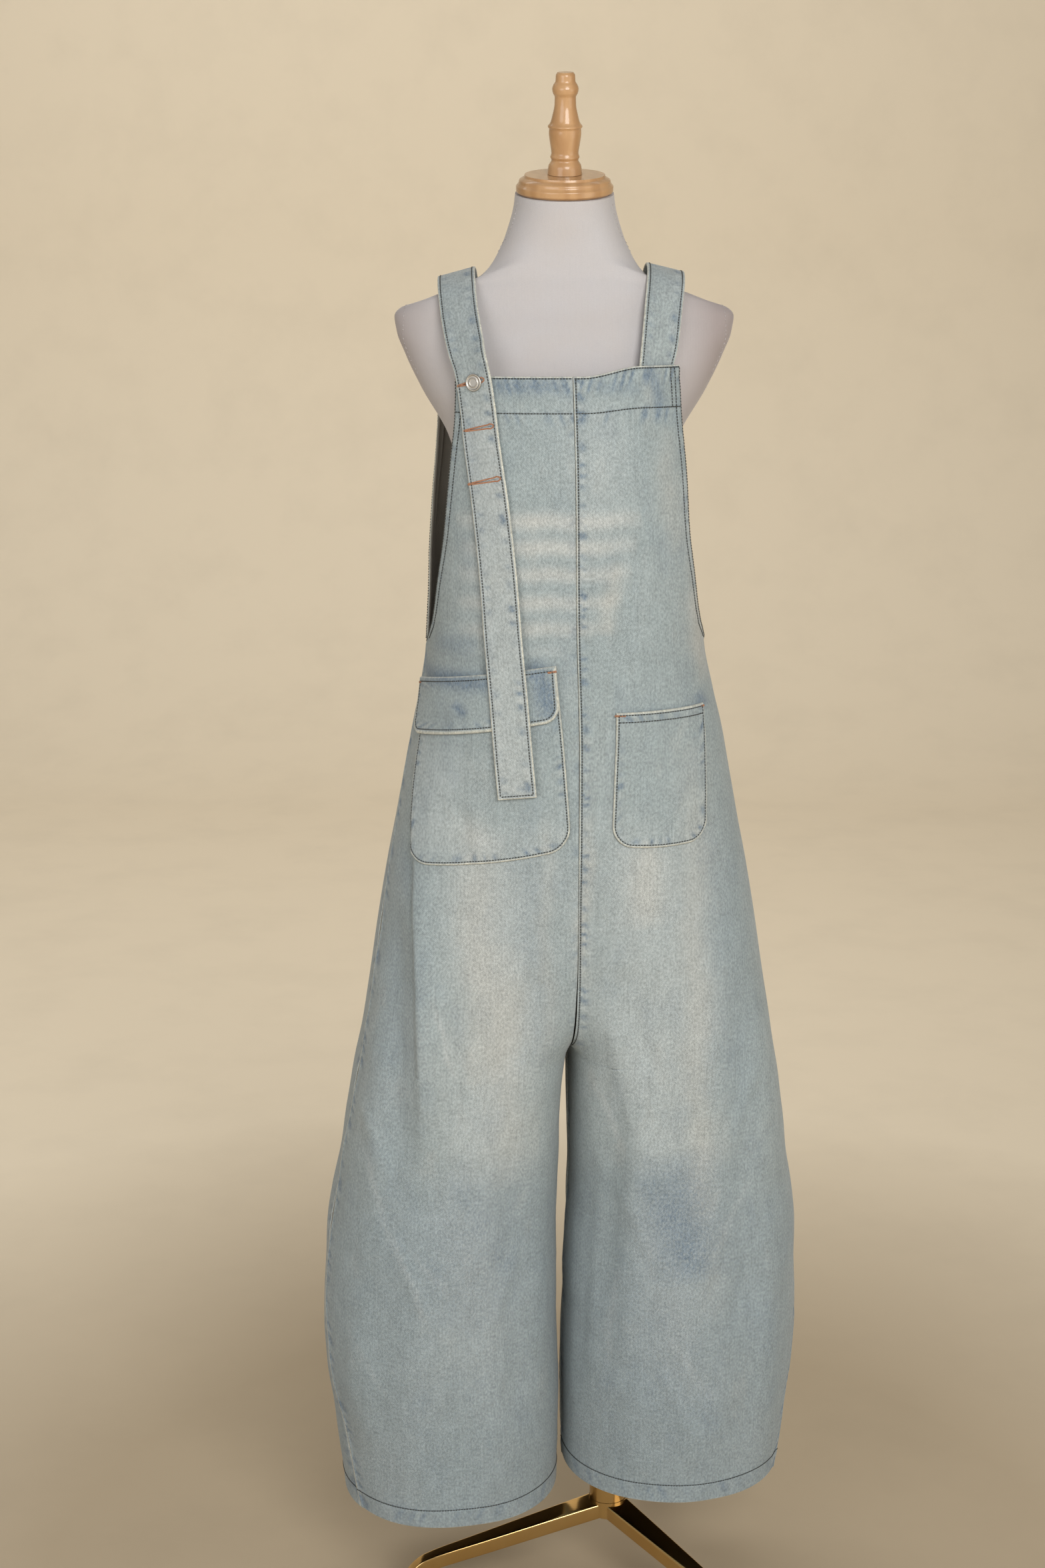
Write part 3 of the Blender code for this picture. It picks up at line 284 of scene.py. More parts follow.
BACK_BLUE = (
    (-0.09, 0.52, -0.125, 0.38, 0.04, 0.45), (0.09, 0.5, 0.125, 0.36, 0.04, 0.45),
    (-0.16, 0.92, -0.185, 0.58, 0.024, 0.4), (0.16, 0.9, 0.185, 0.6, 0.024, 0.4),
    (-0.075, 1.348, -0.01, 1.346, 0.008, 0.7), (0.015, 1.346, 0.07, 1.349, 0.0075, 0.6),
)
BACK_BEIGE = (
    (-0.13, 0.99, -0.148, 0.5, 0.014, 0.7), (0.13, 0.98, 0.146, 0.52, 0.014, 0.7),
    (-0.04, 0.96, -0.05, 0.74, 0.016, 0.4), (0.05, 0.94, 0.056, 0.72, 0.016, 0.4),
)
WASH = {
    "front": (FRONT_PALE, FRONT_BLUE, FRONT_BEIGE),
    "back": (BACK_PALE, BACK_BLUE, BACK_BEIGE),
}
# Blue added on the lower legs, fading in from 0.59 down to 0.45 m: partly the denim's own less washed
# blue, partly painted shade for light that falls off lower down
LEG_BLUE_AND_SHADE = 0.25
LEG_BLUE_AND_SHADE_FROM_TO = (0.590, 0.450)

# Pockets and flap, as rows of the middle's distance from the centre seam and its height, width, height,
# the degrees that the sides lean and the edges slope, how far the lower edge bellies down, the radius of
# the lower corners, the inset of the stitches, how far it stands off the cloth below and how thick it is
PATCH_COLUMNS = (
    "across", "middle", "width", "tall", "lean", "slope", "belly", "corner", "inset", "lift", "thickness",
)
PATCHES = {
    "pocket_large": (0.1003, 0.9767, 0.1735, 0.174, 4.5, 7.5, 0.005, 0.024, 0.0027, 0.0007, 0.002),
    "pocket_flap": (0.1112, 1.0494, 0.1835, 0.057, 2.0, 8.8, 0.0015, 0.016, 0.0046, 0.0042, 0.0026),
    "pocket_small": (0.0895, 0.9725, 0.1075, 0.139, -2.0, 0.5, 0.004, 0.022, 0.0027, 0.0007, 0.002),
}
PATCH_SIDES = {"pocket_large": "right", "pocket_flap": "right", "pocket_small": "left"}
PATCH_STEP = 0.0016
SMALL_POCKET_HEM = 0.0100

# Straps. The shoulder rows are x, y and z; the back and tucked rows are x and z; the hanging rows are
# x, z and how far the strap's middle layer stands off the front's cloth.
STRAP_WIDTH = 0.040
STRAP_CLOTH = 0.0030
STRAP_SEAT = 0.0009
TURNED_DENIM = 0.0034
LONG_STRAP_BACK = ((-0.0990, 1.3180), (-0.1000, 1.3540))
SHORT_STRAP_BACK = ((0.0930, 1.3180), (0.0935, 1.3540))
LONG_STRAP_SHOULDER = (
    (-0.103, 0.0815, 1.4), (-0.107, 0.0595, 1.447), (-0.11, 0.027, 1.4745), (-0.111, -0.007, 1.4775),
    (-0.11, -0.038, 1.4665), (-0.106, -0.068, 1.436), (-0.099, -0.094, 1.404),
)
SHORT_STRAP_SHOULDER = (
    (0.096, 0.092, 1.4), (0.1, 0.064, 1.451), (0.103, 0.029, 1.479), (0.104, -0.006, 1.482),
    (0.103, -0.036, 1.472), (0.099, -0.062, 1.441), (0.095, -0.0785, 1.409),
)
LONG_STRAP_HANG = (
    (-0.0925, 1.386, 0.0034), (-0.09, 1.372, 0.0028), (-0.087, 1.35, 0.0024), (-0.083, 1.315, 0.0024),
    (-0.074, 1.25, 0.003), (-0.066, 1.178, 0.0044), (-0.0605, 1.115, 0.0076), (-0.055, 1.055, 0.01),
    (-0.051, 0.998, 0.0096), (-0.0475, 0.955, 0.0084),
)
SHORT_STRAP_TUCKED = ((0.0940, 1.3800), (0.0935, 1.3640), (0.0930, 1.3480))
TUCKED_GAP = 0.0024
STRAP_STEP = 0.0022
STRAP_COLUMNS = 14
STRAP_INSET = 0.0032
# The straps' paleness: their own washed tone down the front, and lower on the back and over the shoulder
# as painted shade
STRAP_PALE_AND_SHOULDER_SHADE = (0.14, 0.44)
STRAP_PALE_AND_SHOULDER_SHADE_FROM_TO = (0.33, 0.46)
STRAP_BEIGE = 0.12
SHOULDER_TURN_HEIGHT = 1.400
SHOULDER_UPWARDS = 1.6
SHOULDER_SIDEWAYS = 0.30
HANGING_FROM = 0.35
BUTTON_PLACE = (-0.0887, 1.3720)

# Buttonholes down the long strap, as rows of the middle's height, how far it lies off the strap's middle
# and its length
BUTTONHOLES = ((1.3722, 0.0030, 0.0310), (1.3272, 0.0008, 0.0335), (1.2755, 0.0024, 0.0360))
BUTTONHOLE_TILT = math.radians(1.6)

# Shank button: rows of radius and height above the strap's face
BUTTON_SHANK_RADIUS = 0.0028
BUTTON_HEAD = (
    (0.0028, 0.0012), (0.007, 0.0011), (0.0081, 0.0014), (0.0086, 0.0021), (0.0087, 0.0027),
    (0.0084, 0.0033), (0.0078, 0.0036), (0.0072, 0.0035), (0.0068, 0.0032), (0.0062, 0.003),
    (0.005, 0.0031), (0.0046, 0.0034), (0.0041, 0.0034), (0.0037, 0.0031), (0.002, 0.0031),
)

# Dress form: rings from the foot of the torso to the top of the neck, as rows of height, half width,
# depth at the front and back, how far the ring droops at its sides and how far it leans back
FORM_RINGS = (
    (0.845, 0.14, -0.088, 0.09, 0.0, 0.0), (0.86, 0.147, -0.094, 0.096, 0.0, 0.0),
    (0.93, 0.15, -0.098, 0.102, 0.0, 0.0), (1.01, 0.127, -0.09, 0.093, 0.0, 0.0),
    (1.1, 0.101, -0.085, 0.078, 0.0, 0.0), (1.18, 0.1, -0.098, 0.08, 0.0, 0.0),
    (1.235, 0.103, -0.113, 0.084, 0.0, 0.0), (1.275, 0.109, -0.118, 0.087, 0.0, 0.0),
    (1.315, 0.121, -0.111, 0.088, 0.0, 0.0), (1.36, 0.147, -0.098, 0.087, 0.0, 0.0),
    (1.395, 0.164, -0.085, 0.083, 0.0, 0.0), (1.42, 0.173, -0.073, 0.077, 0.002, 0.0),
    (1.442, 0.1755, -0.061, 0.064, 0.008, 0.0), (1.462, 0.169, -0.053, 0.056, 0.019, 0.0),
    (1.476, 0.15, -0.048, 0.051, 0.027, 0.0), (1.487, 0.124, -0.047, 0.049, 0.03, 0.0),
    (1.496, 0.098, -0.047, 0.049, 0.0285, 0.02), (1.504, 0.078, -0.0475, 0.0485, 0.021, 0.04),
    (1.514, 0.065, -0.0485, 0.048, 0.009, 0.08), (1.528, 0.0575, -0.0505, 0.0475, 0.003, 0.13),
    (1.543, 0.0525, -0.0525, 0.046, 0.0, 0.17), (1.5578, 0.0505, -0.055, 0.044, 0.0, 0.19),
)
FORM_ROUND = 2.25
FORM_SIDES = 144
FORM_STEPS = 8
FORM_SEARCH_STEPS = 40
FORM_SEARCH_RATE = 18.0
COVER_SEAM_STEPS = 30

# Seams sewn on the form's front, as rows of x and z, for the left side and mirrored for the right
ARM_PLATE_SEAM = (
    (0.156, 1.464), (0.162, 1.45), (0.165, 1.432), (0.1655, 1.415), (0.161, 1.398), (0.15, 1.376),
)
NECK_SEAM = ((0.0480, 1.5480), (0.0520, 1.5300), (0.0600, 1.5120), (0.0760, 1.4980))

# Wooden neck cap and finial, turned: rows of radius and height along their tilted axis
CAP_TILT = math.atan(0.19)
CAP_FOOT = (0.0, -0.0055, 1.5572)
CAP_PROFILE = (
    (0.047, 0.0), (0.05, 0.0025), (0.05, 0.0075), (0.048, 0.0095), (0.047, 0.011), (0.047, 0.0135),
    (0.044, 0.0155), (0.0415, 0.0165), (0.041, 0.019),
)
FINIAL_PROFILE = (
    (0.0176, 0.0), (0.0172, 0.0085), (0.013, 0.0142), (0.0154, 0.017), (0.0134, 0.0203),
    (0.0152, 0.0302), (0.0167, 0.0405), (0.016, 0.0443), (0.0182, 0.0471), (0.015, 0.05),
    (0.0128, 0.0584), (0.0108, 0.0678), (0.0104, 0.0754), (0.0128, 0.0796), (0.0136, 0.0834),
    (0.0122, 0.0876), (0.0098, 0.0905), (0.0099, 0.0971), (0.008, 0.0994),
)
TURNED_SIDES = 72
TURNED_STEPS = 5
BUTTON_STEPS = 4

# Stand. The legs' rows are reach from the column, height, half width and half depth.
COLUMN_PLACE = (0.055, -0.035)
COLUMN_RADIUS = 0.021
COLUMN_SIDES = 64
HUB_PROFILE = ((0.02, 0.0875), (0.0215, 0.089), (0.0215, 0.108))
LEG_ANGLES = (193.0, 312.5, 73.0)
LEG_SECTIONS = (
    (0.0, 0.099, 0.016, 0.0092), (0.06, 0.0853, 0.0137, 0.0091), (0.14, 0.0668, 0.0106, 0.0087),
    (0.202, 0.0526, 0.0081, 0.0083), (0.215, 0.048, 0.0076, 0.0081), (0.228, 0.0365, 0.0075, 0.0078),
    (0.236, 0.0225, 0.0075, 0.0078), (0.238, 0.0103, 0.0075, 0.008),
)
LEG_SIDES = 40
LEG_ROUND = 9.0
LEG_STEPS = 8

# The studio: the camera's place, pitch and lens, and the swept floor and wall
CAMERA_PLACE = (-0.043, -2.400, 1.485)
CAMERA_DOWN = math.radians(12.85)
CAMERA_LENS = 3407 / 2352 * 36
FLOOR_HALF_WIDTH = 14.0
FLOOR_FRONT = -12.0
WALL_PLACE = 5.4
WALL_SWEEP = 1.6
WALL_TOP = 9.0
SWEEP_STEPS = 24
SHARP_ANGLE = math.radians(40)
FORM_SHARP_ANGLE = math.radians(70)

# Shares of a fold's and a crease's length over which they fade at each end, and the size of the cloth's
# unevenness in the bib and what the legs add, which fades out between two heights
FOLD_FADE, CREASE_FADE = 0.25, 0.3
BIB_SLACK, LEG_SLACK = 0.00022, 0.00042
SLACK_FROM_TO = (0.55, 0.95)

# How seam work fades at its ends, where the armhole's turning ends, the pucker that is marked in full,
# and how blue a groove is
WORK_FADE = 0.004
ARMHOLE_TURNING = (8.6 * MM, 9.4 * MM)
MARKED_PUCKER = 0.45 * MM
GROOVE_BLUE = 0.35

# Threads: how far a panel's stitches stand out, in shares of their radius, the sides of a thread, and
# the place, girth and height of each of its rings
STITCH_LIFT = 0.3
THREAD_SIDES = 5
THREAD_PLACES = np.array((-1.0, -0.72, 0.72, 1.0))
THREAD_GIRTHS = np.array((0.45, 1.0, 1.0, 0.45))
THREAD_HEIGHTS = np.array((-0.9, 0.35, 0.35, -0.9))

# Bar tacks: patch, place across and up from its middle in shares of its half sizes, and length
TACKS = (
    ("pocket_flap", -0.955, 0.80, 0.0075), ("pocket_flap", 0.950, 0.80, 0.0090),
    ("pocket_small", -0.930, 0.955, 0.0110), ("pocket_small", 0.955, 0.960, 0.0060),
)

# Spacings of the closer threads, and each thread's length and radius
TACK_PITCH, TACK_THREAD = 0.00055, (0.0024, 0.00034)
BUTTONHOLE_PITCH, BUTTONHOLE_THREAD = 0.00046, (0.0017, 0.00034)
# The slits' near-black threads are painted shade in their gaps
SLIT_SHADE_PITCH, SLIT_SHADE_THREAD = 0.0030, (0.0036, 0.00018)
COVER_PITCH, COVER_THREAD = 0.0046, (0.0026, 0.00042)

# The denim's noise: scale across and along the warp, detail and roughness. In order: yarn, pepper,
# mottle, slub, clouds, broad clouds and the ragged edges of blue marks
DENIM_NOISE = (
    (1500.0, 620.0, 3.0, 0.65), (520.0, 300.0, 2.0, 0.6), (84.0, 46.0, 5.0, 0.72), (420.0, 20.0, 3.0, 0.6),
    (26.0, 13.0, 4.0, 0.55), (9.0, 4.0, 2.0, 0.5), (420.0, 240.0, 4.0, 0.7),
)

# Lights: the setting that holds its power, its place, what it is aimed at, size and colour
LIGHTS = (
    ("key", (1.0, -3.5, 2.5), (0.1, 0.0, 0.95), 2.0, (1.0, 0.99, 0.97)),
    ("fill", (-2.0, -3.2, 1.7), (0.0, 0.0, 0.9), 2.4, (0.97, 0.98, 1.0)),
    ("side", (2.5, -1.5, 0.8), (0.2, 0.2, 0.5), 2.0, (1.0, 0.99, 0.96)),
    ("wall", (-0.7, 1.8, 3.8), (-0.4, 5.4, 0.6), 4.0, (1.0, 1.0, 0.98)),
)


def linear(red, green, blue):
    """A colour given as 0 to 255 on a screen, as the linear values that a shader takes."""
    screen = np.array((red, green, blue)) / 255.0
    light = np.where(screen <= 0.04045, screen / 12.92, ((screen + 0.055) / 1.055) ** 2.4)
    return tuple(light.tolist())


# ---------------------------------------------------------------- curves and tables


def slopes(where, values):
    """Slopes at a table's rows that keep a cubic curve between them from overshooting.

    Each is the weighted harmonic mean of the rates before and after it, or 0 where their signs differ.
    """
    steps = np.diff(where)
    rates = np.diff(values) / steps
    slope = np.zeros(len(where))
    slope[0], slope[-1] = rates[0], rates[-1]
    same_way = rates[:-1] * rates[1:] > 0
    before, after = 2 * steps[1:] + steps[:-1], steps[1:] + 2 * steps[:-1]
    safe_low, safe_high = (np.where(same_way, rate, 1.0) for rate in (rates[:-1], rates[1:]))
    mean = (before + after) / (before / safe_low + after / safe_high)
    slope[1:-1] = np.where(same_way, mean, 0.0)
    return slope


def row_and_share(at, where):
    """The row that each place follows, the step to the next row, and the share of it."""
    row = np.clip(np.searchsorted(at, where, side="right") - 1, 0, len(at) - 2)
    step = at[row + 1] - at[row]
    return row, step, (where - at[row]) / step


def cubic(t, step, low, high, slope_low, slope_high):
    """The cubic between two rows that keeps their values and slopes, at a share t of the step."""
    start = (1 + 2 * t) * (1 - t) ** 2 * low + t * (1 - t) ** 2 * step * slope_low
    return start + (t**2 * (3 - 2 * t) * high + t**2 * (t - 1) * step * slope_high)


def on_curve(at, values, where):
    """Values read at any place along a table's rows, on a smooth curve that doesn't overshoot."""
    row, step, t = row_and_share(at, np.clip(where, at[0], at[-1]))
    slope = slopes(at, values)
    return cubic(t, step, values[row], values[row + 1], slope[row], slope[row + 1])


def read_table(table, columns, names, where):
    """Named columns of a table, read at any place along its first column."""
    numbers = np.array(table, float)
    return [on_curve(numbers[:, 0], numbers[:, columns.index(name)], where) for name in names]


def finer(rows, steps):
    """A table's rows with more rows between them, on a smooth curve through each column."""
    numbers = np.array(rows, float)
    at = np.arange(len(numbers), dtype=float)
    where = np.linspace(0, len(numbers) - 1, (len(numbers) - 1) * steps + 1)
    return np.stack([on_curve(at, column, where) for column in numbers.T], axis=-1)


def ease(low, high, value):
    """0 at low and 1 at high, with a smooth change between them."""
    t = np.clip((value - low) / (high - low), 0.0, 1.0)
    return t * t * (3 - 2 * t)


def bent(value, roundness):
    """A sine or cosine raised so that it draws a squarer arc, with its sign kept."""
    return np.sign(value) * np.abs(value) ** (2.0 / roundness)


def bell(value, width):
    """1 at zero, falling away on both sides on a bell curve."""
    return np.exp(-((value / width) ** 2))


def row_interp(where, known, values):
    """Linear interpolation along every row of a table at once.

    Each row is moved up by its own number of tens, so that all rows together make one rising line.
    """
    where = np.clip(where, known[:, :1], known[:, -1:])
    moved = 10.0 * np.arange(len(known))[:, None]
    flat = np.interp((where + moved).ravel(), (known + moved).ravel(), values.ravel())
    return flat.reshape(where.shape)


def vectors_at(where, along, vectors):
    """Rows of vectors read at lengths along a line, each coordinate on its own."""
    return np.stack([np.interp(where, along, column) for column in vectors.T], axis=-1)


def running_length(points):
    """The length along a line of points up to each of them."""
    steps = np.linalg.norm(np.diff(points, axis=0), axis=1)
    return np.concatenate(((0.0,), np.cumsum(steps)))


def unit(vectors):
    """Vectors made one long."""
    return vectors / np.maximum(np.linalg.norm(vectors, axis=-1, keepdims=True), 1e-12)


def irregular(distance, length, seed):
    """A wave of about one length along a distance, whose crests wander and come and go.

    It is the sine of a bent phase, times a slower sum of sines held between a tenth and 1.2.
    """
    turn = 2 * math.pi * distance / length
    wave = np.sin(turn + 1.6 * np.sin(turn / 3.7 + seed) + 1.1 * np.sin(turn / 7.3 + 2.3 * seed))
    strength = 0.55 + 0.45 * np.sin(turn / 5.1 + 3.1 * seed) + 0.35 * np.sin(turn / 2.3 + 1.9 * seed)
    return wave * np.clip(strength, 0.1, 1.2)


def hollows_and_crests(pucker):
    """How far a pucker lies below and above the cloth, each between 0 and 1."""
    return np.clip(-pucker, 0, 1), np.clip(pucker, 0, 1)


# ---------------------------------------------------------------- the garment's sections


class Plan:
    """Plan curves of one side of the garment, a row for each height, on the side of +X and unturned.

    Inner quarter: x = crown - (crown - inner) cos^(2/n), y = depth sin^(2/n). Outer half: x = crown +
    (half width - crown) sin^(2/n), y = depth cos^(2/n), with n the roundness. Each row runs from the
    front inner edge round the side to the back inner edge.
    """

    INNER_STEPS = 60
    OUTER_STEPS = 360

    def __init__(self, heights):
        self.heights = np.asarray(heights, float)
        tall = self.heights[:, None]
        half_width, front, back = read_table(OUTLINE, OUTLINE_COLUMNS, OUTLINE_COLUMNS[1:4], tall)
        crown, inner = read_table(OVALS, OVAL_COLUMNS, OVAL_COLUMNS[1:], tall)
        front_round, back_round = read_table(ROUND, ROUND_COLUMNS, ROUND_COLUMNS[1:], tall)
        quarter = np.linspace(0, math.pi / 2, self.INNER_STEPS, endpoint=False)
        inwards = crown - (crown - inner) * bent(np.cos(quarter), front_round)
        front_y = INSEAM_DEPTH + (front - INSEAM_DEPTH) * bent(np.sin(quarter), front_round)
        back_y = INSEAM_DEPTH + (back - INSEAM_DEPTH) * bent(np.sin(quarter), back_round)
        around = np.linspace(0, math.pi, self.OUTER_STEPS + 1)
        cosine = np.cos(around)
        roundness = np.where(cosine > 0, front_round, back_round)
        side_x = crown + (half_width - crown) * bent(np.sin(around), roundness)
        side_y = np.where(cosine > 0, front, -back) * bent(cosine, roundness)
        x = np.concatenate((inwards, side_x, inwards[:, ::-1]), axis=1)
        y = np.concatenate((front_y, side_y, back_y[:, ::-1]), axis=1)
        self.points = np.stack((x, y), axis=-1)
        ahead = unit(np.gradient(self.points, axis=1))
        self.normals = np.stack((ahead[..., 1], -ahead[..., 0]), axis=-1)
        steps = np.linalg.norm(np.diff(self.points, axis=1), axis=-1)
        self.along = np.concatenate((np.zeros((len(steps), 1)), np.cumsum(steps, axis=1)), axis=1)
        half = x.shape[1] // 2
        self.start, self.grain = {}, {}
        for face, part in (("front", slice(half)), ("back", slice(None, half - 1, -1))):
            over, along = x[:, part], self.along[:, part]
            clear = np.maximum(over[:, :1], SEAM_GAP / 2)
            trim = np.where(over[:, 0] >= SEAM_GAP / 2, FACES[face] * SEAM_GAP / 2, 0.0)
            self.start[face] = row_interp(clear, over, along)[:, 0] + trim
            self.grain[face] = row_interp(np.full((len(x), 1), GRAIN_PLACE), over, along)[:, 0]

    def length_at(self, angle):
        """The length along each curve at an angle round from the centre front, in radians."""
        rows = np.arange(len(self.along))
        place = self.INNER_STEPS + np.broadcast_to(angle, rows.shape) / math.pi * self.OUTER_STEPS
        low = np.floor(place).astype(int)
        here, after = self.along[rows, low], self.along[rows, low + 1]
        return here + (after - here) * (place - low)

    def at(self, lengths):
        """Points and outward normals at lengths along each curve."""
        points, normals = (
            np.stack([row_interp(lengths, self.along, grid[..., i]) for i in (0, 1)], axis=-1)
            for grid in (self.points, self.normals)
        )
        return points, unit(normals)


def edge_lengths(plan, side, face):
    """Where a panel starts and ends along each section."""
    (seam,) = read_table(SEAMS, SEAM_COLUMNS, (side,), plan.heights)
    (armhole,) = read_table(ARMHOLE, ARMHOLE_COLUMNS, (f"{side}_{face}",), plan.heights)
    armhole = np.radians(armhole) if face == "front" else math.pi - np.radians(armhole)
    angle = np.where(plan.heights > UNDERARM_HEIGHT, armhole, math.pi / 2 - np.radians(seam))
    return plan.start[face], plan.length_at(angle) - FACES[face] * SEAM_GAP / 2


def placed(side, plan, heights):
    """Plan points put on their own side, turned with the garment, moved over and set at their heights."""
    x, y = SIDES[side] * plan[..., 0], plan[..., 1]
    (shift,) = read_table(OUTLINE, OUTLINE_COLUMNS, ("shift",), heights)
    turned_x = x * math.cos(TURN) - y * math.sin(TURN) + shift
    turned_y = x * math.sin(TURN) + y * math.cos(TURN)
    return np.stack((turned_x, turned_y, np.broadcast_to(heights, x.shape)), axis=-1)


def panel_rows(side, face):
    """Heights of a panel's rows: even steps, with close rows at its edges, stitched lines and crotch."""
    hem, top = HEM_HEIGHT[side], TOP[face]
    edge, line = np.array(EDGE_OFFSETS) * MM, np.array(LINE_OFFSETS) * MM
    even = np.linspace(hem, top, int(round((top - hem) / ROW_STEP)) + 1)
    close = (hem + edge, top - edge, hem + HEM_BAND + line, top - BIB_FACING + line, RISE_ROWS)
    rows = np.unique(np.round(np.concatenate((even, *close)), 6))
    return rows[np.diff(rows, prepend=-1.0) > LEAST_ROW_STEP]


def fold_relief(side, face, x, height):
    """How far folds and creases push the cloth out.

    Folds are bells across their line. Creases are half bells of two widths, so one flank is steeper.
    Both fade at their two ends.
    """
    total = np.zeros(np.broadcast(x, height).shape)
    for rows, fade in ((FOLDS, FOLD_FADE), (CREASES, CREASE_FADE)):
        for x_top, z_top, x_low, z_low, *widths, relief in rows[side, face]:
            down = (z_top - height) / (z_top - z_low)
            strength = ease(0.0, fade, down) * (1 - ease(1 - fade, 1.0, down))
            beside = x - (x_top + (x_low - x_top) * down)
            total += relief * strength * bell(beside, np.where(beside < 0, widths[0], widths[-1]))
    return total


def slackness(side, face, x, height):
    """The cloth's slight overall unevenness: five crossed waves of fixed phase, in the legs most."""
    phase = {"right": 0.7, "left": 2.1}[side] + {"front": 0.0, "back": 1.3}[face]
    waves = np.sin(31 * x + 17 * height + phase) + np.sin(53 * x - 23 * height + 2.1 * phase)
    waves = waves + 0.8 * np.sin(19 * x + 47 * height + 3.4 * phase)
    waves = waves + 0.5 * np.sin(88 * x - 61 * height + 1.2 * phase) * np.sin(23 * height + phase)
    waves = waves + 0.4 * np.sin(71 * x + 97 * height + 2.6 * phase) * np.sin(29 * x + 11 * height)
    return waves * (BIB_SLACK + LEG_SLACK * (1 - ease(*SLACK_FROM_TO, height)))


def bib_rise(side, face, plan_x, height):
    """How much the bib's upper edge is pulled up where the short strap holds it."""
    if face == "back" or side == "right":
        return np.zeros(np.shape(plan_x))
    near_top = ease(BIB_TOP - BIB_FACING * 2, BIB_TOP, height)
    return BIB_RISE * near_top * ease(*BIB_RISE_FROM_TO, plan_x)


class Cloth:
    """One front or back as a surface of two parameters: how far in from its inner edge, and height.

    The plain surface is kept at the panel's own rows and at even steps across, and is read between
    them by bilinear interpolation. Folds, seams and puckers are added as offsets along the normal.
    """

    def __init__(self, side, face):
        self.side, self.face = side, face
        self.hem, self.top = HEM_HEIGHT[side], TOP[face]
        self.heights = panel_rows(side, face)
        plan = Plan(self.heights)
        start, end = edge_lengths(plan, side, face)
        self.width = np.abs(end - start)
        self.grain = np.abs(plan.grain[face] - start)
        reach = np.arange(0.0, LOOKUP_REACH, LOOKUP_STEP)
        self.points, self.normals = plan.at(start[:, None] + FACES[face] * reach)
        self.cosines = {
            "inner": self.edge_cosine(self.points[:, 0]),
            "outer": self.edge_cosine(plan.at(end[:, None])[0][:, 0]),
        }
        self.work = (*SHARED_WORK, *PANEL_WORK[side, face])
        self.lines = (*SHARED_LINES, *PANEL_LINES[side, face])

    def edge_cosine(self, edge):
        """How upright an edge runs at each height, as the cosine of its slant."""
        sideways = np.linalg.norm(np.gradient(edge, self.heights, axis=0), axis=-1)
        smooth = np.convolve(np.pad(sideways, 3, mode="edge"), np.ones(7) / 7, mode="valid")
        return np.clip(1 / np.hypot(1.0, smooth), LEAST_COSINE, 1.0)

    def plain(self, inwards, height):
        """Plan points and normals of the plain surface."""
        row = np.clip(np.searchsorted(self.heights, height, "right") - 1, 0, len(self.heights) - 2)
        up = (height - self.heights[row]) / (self.heights[row + 1] - self.heights[row])
        column = np.clip((inwards / LOOKUP_STEP).astype(int), 0, self.points.shape[1] - 2)
        over = inwards / LOOKUP_STEP - column
        up, over = np.clip(up, 0, 1)[..., None], over[..., None]
        read = []
        for grid in (self.points, self.normals):
            low = grid[row, column] * (1 - over) + grid[row, column + 1] * over
            high = grid[row + 1, column] * (1 - over) + grid[row + 1, column + 1] * over
            read.append(low * (1 - up) + high * up)
        return read[0], unit(read[1])

    def from_edges(self, inwards, height):
        """Distances from each edge, square to it, and the length along it."""
        width = np.interp(height, self.heights, self.width)
        inner, outer = (np.interp(height, self.heights, self.cosines[e]) for e in ("inner", "outer"))
        return {
            "inner": (inwards * inner, height),
            "outer": ((width - inwards) * outer, height),
            "hem": (height - self.hem, inwards),
            "top": (self.top - height, inwards),
        }

    def worked(self, inwards, height):
        """Relief of seams and puckers, and the blue, pale and worn marks that wear leaves on them."""
        relief = np.zeros(np.broadcast(inwards, height).shape)
        blue, pale, worn, groove = (np.zeros(relief.shape) for _ in range(4))
        edges = self.from_edges(inwards, height)
        for number, row in enumerate(self.work):
            edge, z_low, z_high, ridge_width, ridge_height, worn_width, strength = row[:7]
            inset, reach, length, tall = (value * MM for value in row[7:])
            distance, along = edges[edge]
            begun, over = (ease(z - WORK_FADE, z + WORK_FADE, height) for z in (z_low, z_high))
            there = begun * (1 - over)
            ridge = 1 - ease(ridge_width * 0.82 * MM, ridge_width * 1.18 * MM, distance)
            pucker = irregular(along + 0.35 * distance, length, 1.7 * number + SIDES[self.side])
            hollow, crest = hollows_and_crests(pucker)
            near = bell(distance - inset, reach) * there
            relief += there * ridge * ridge_height * MM + near * tall * pucker
            blue += near * hollow * min(tall / MARKED_PUCKER, 1.2)
            pale += near * crest * min(tall / MARKED_PUCKER, 1.0) * 0.6
            band = 1 - ease(worn_width * 0.75 * MM, worn_width * 1.25 * MM, distance)
            worn = np.maximum(worn, there * band * strength * (0.86 + 0.14 * pucker))
        for edge, inset, z_low, z_high in self.lines:
            there = 1.0 if edge in ("hem", "top") else (height > z_low) & (height < z_high)
            groove = np.maximum(groove, there * bell(edges[edge][0] - inset * MM, GROOVE_WIDTH))
        return relief - GROOVE_DEPTH * groove, blue, pale, worn, groove

    def at(self, inwards, height, lift):
        """Points on the outer face moved out by a lift, and the way the cloth faces there."""
        inwards, height, lift = np.broadcast_arrays(inwards, height, lift)
        plan, normal = self.plain(inwards, height)
        x = plan[..., 0]
        loose = fold_relief(self.side, self.face, x, height) + slackness(self.side, self.face, x, height)
        offset = loose + self.worked(inwards, height)[0] + lift
        moved = plan + normal * offset[..., None]
        moved[..., 0] = np.maximum(moved[..., 0], SEAM_GAP / 2)
        points = placed(self.side, moved, height)
        points[..., 2] += bib_rise(self.side, self.face, x, height)
        tips = placed(self.side, moved + normal, height)
        return points, unit(tips * (1, 1, 0) - points * (1, 1, 0))

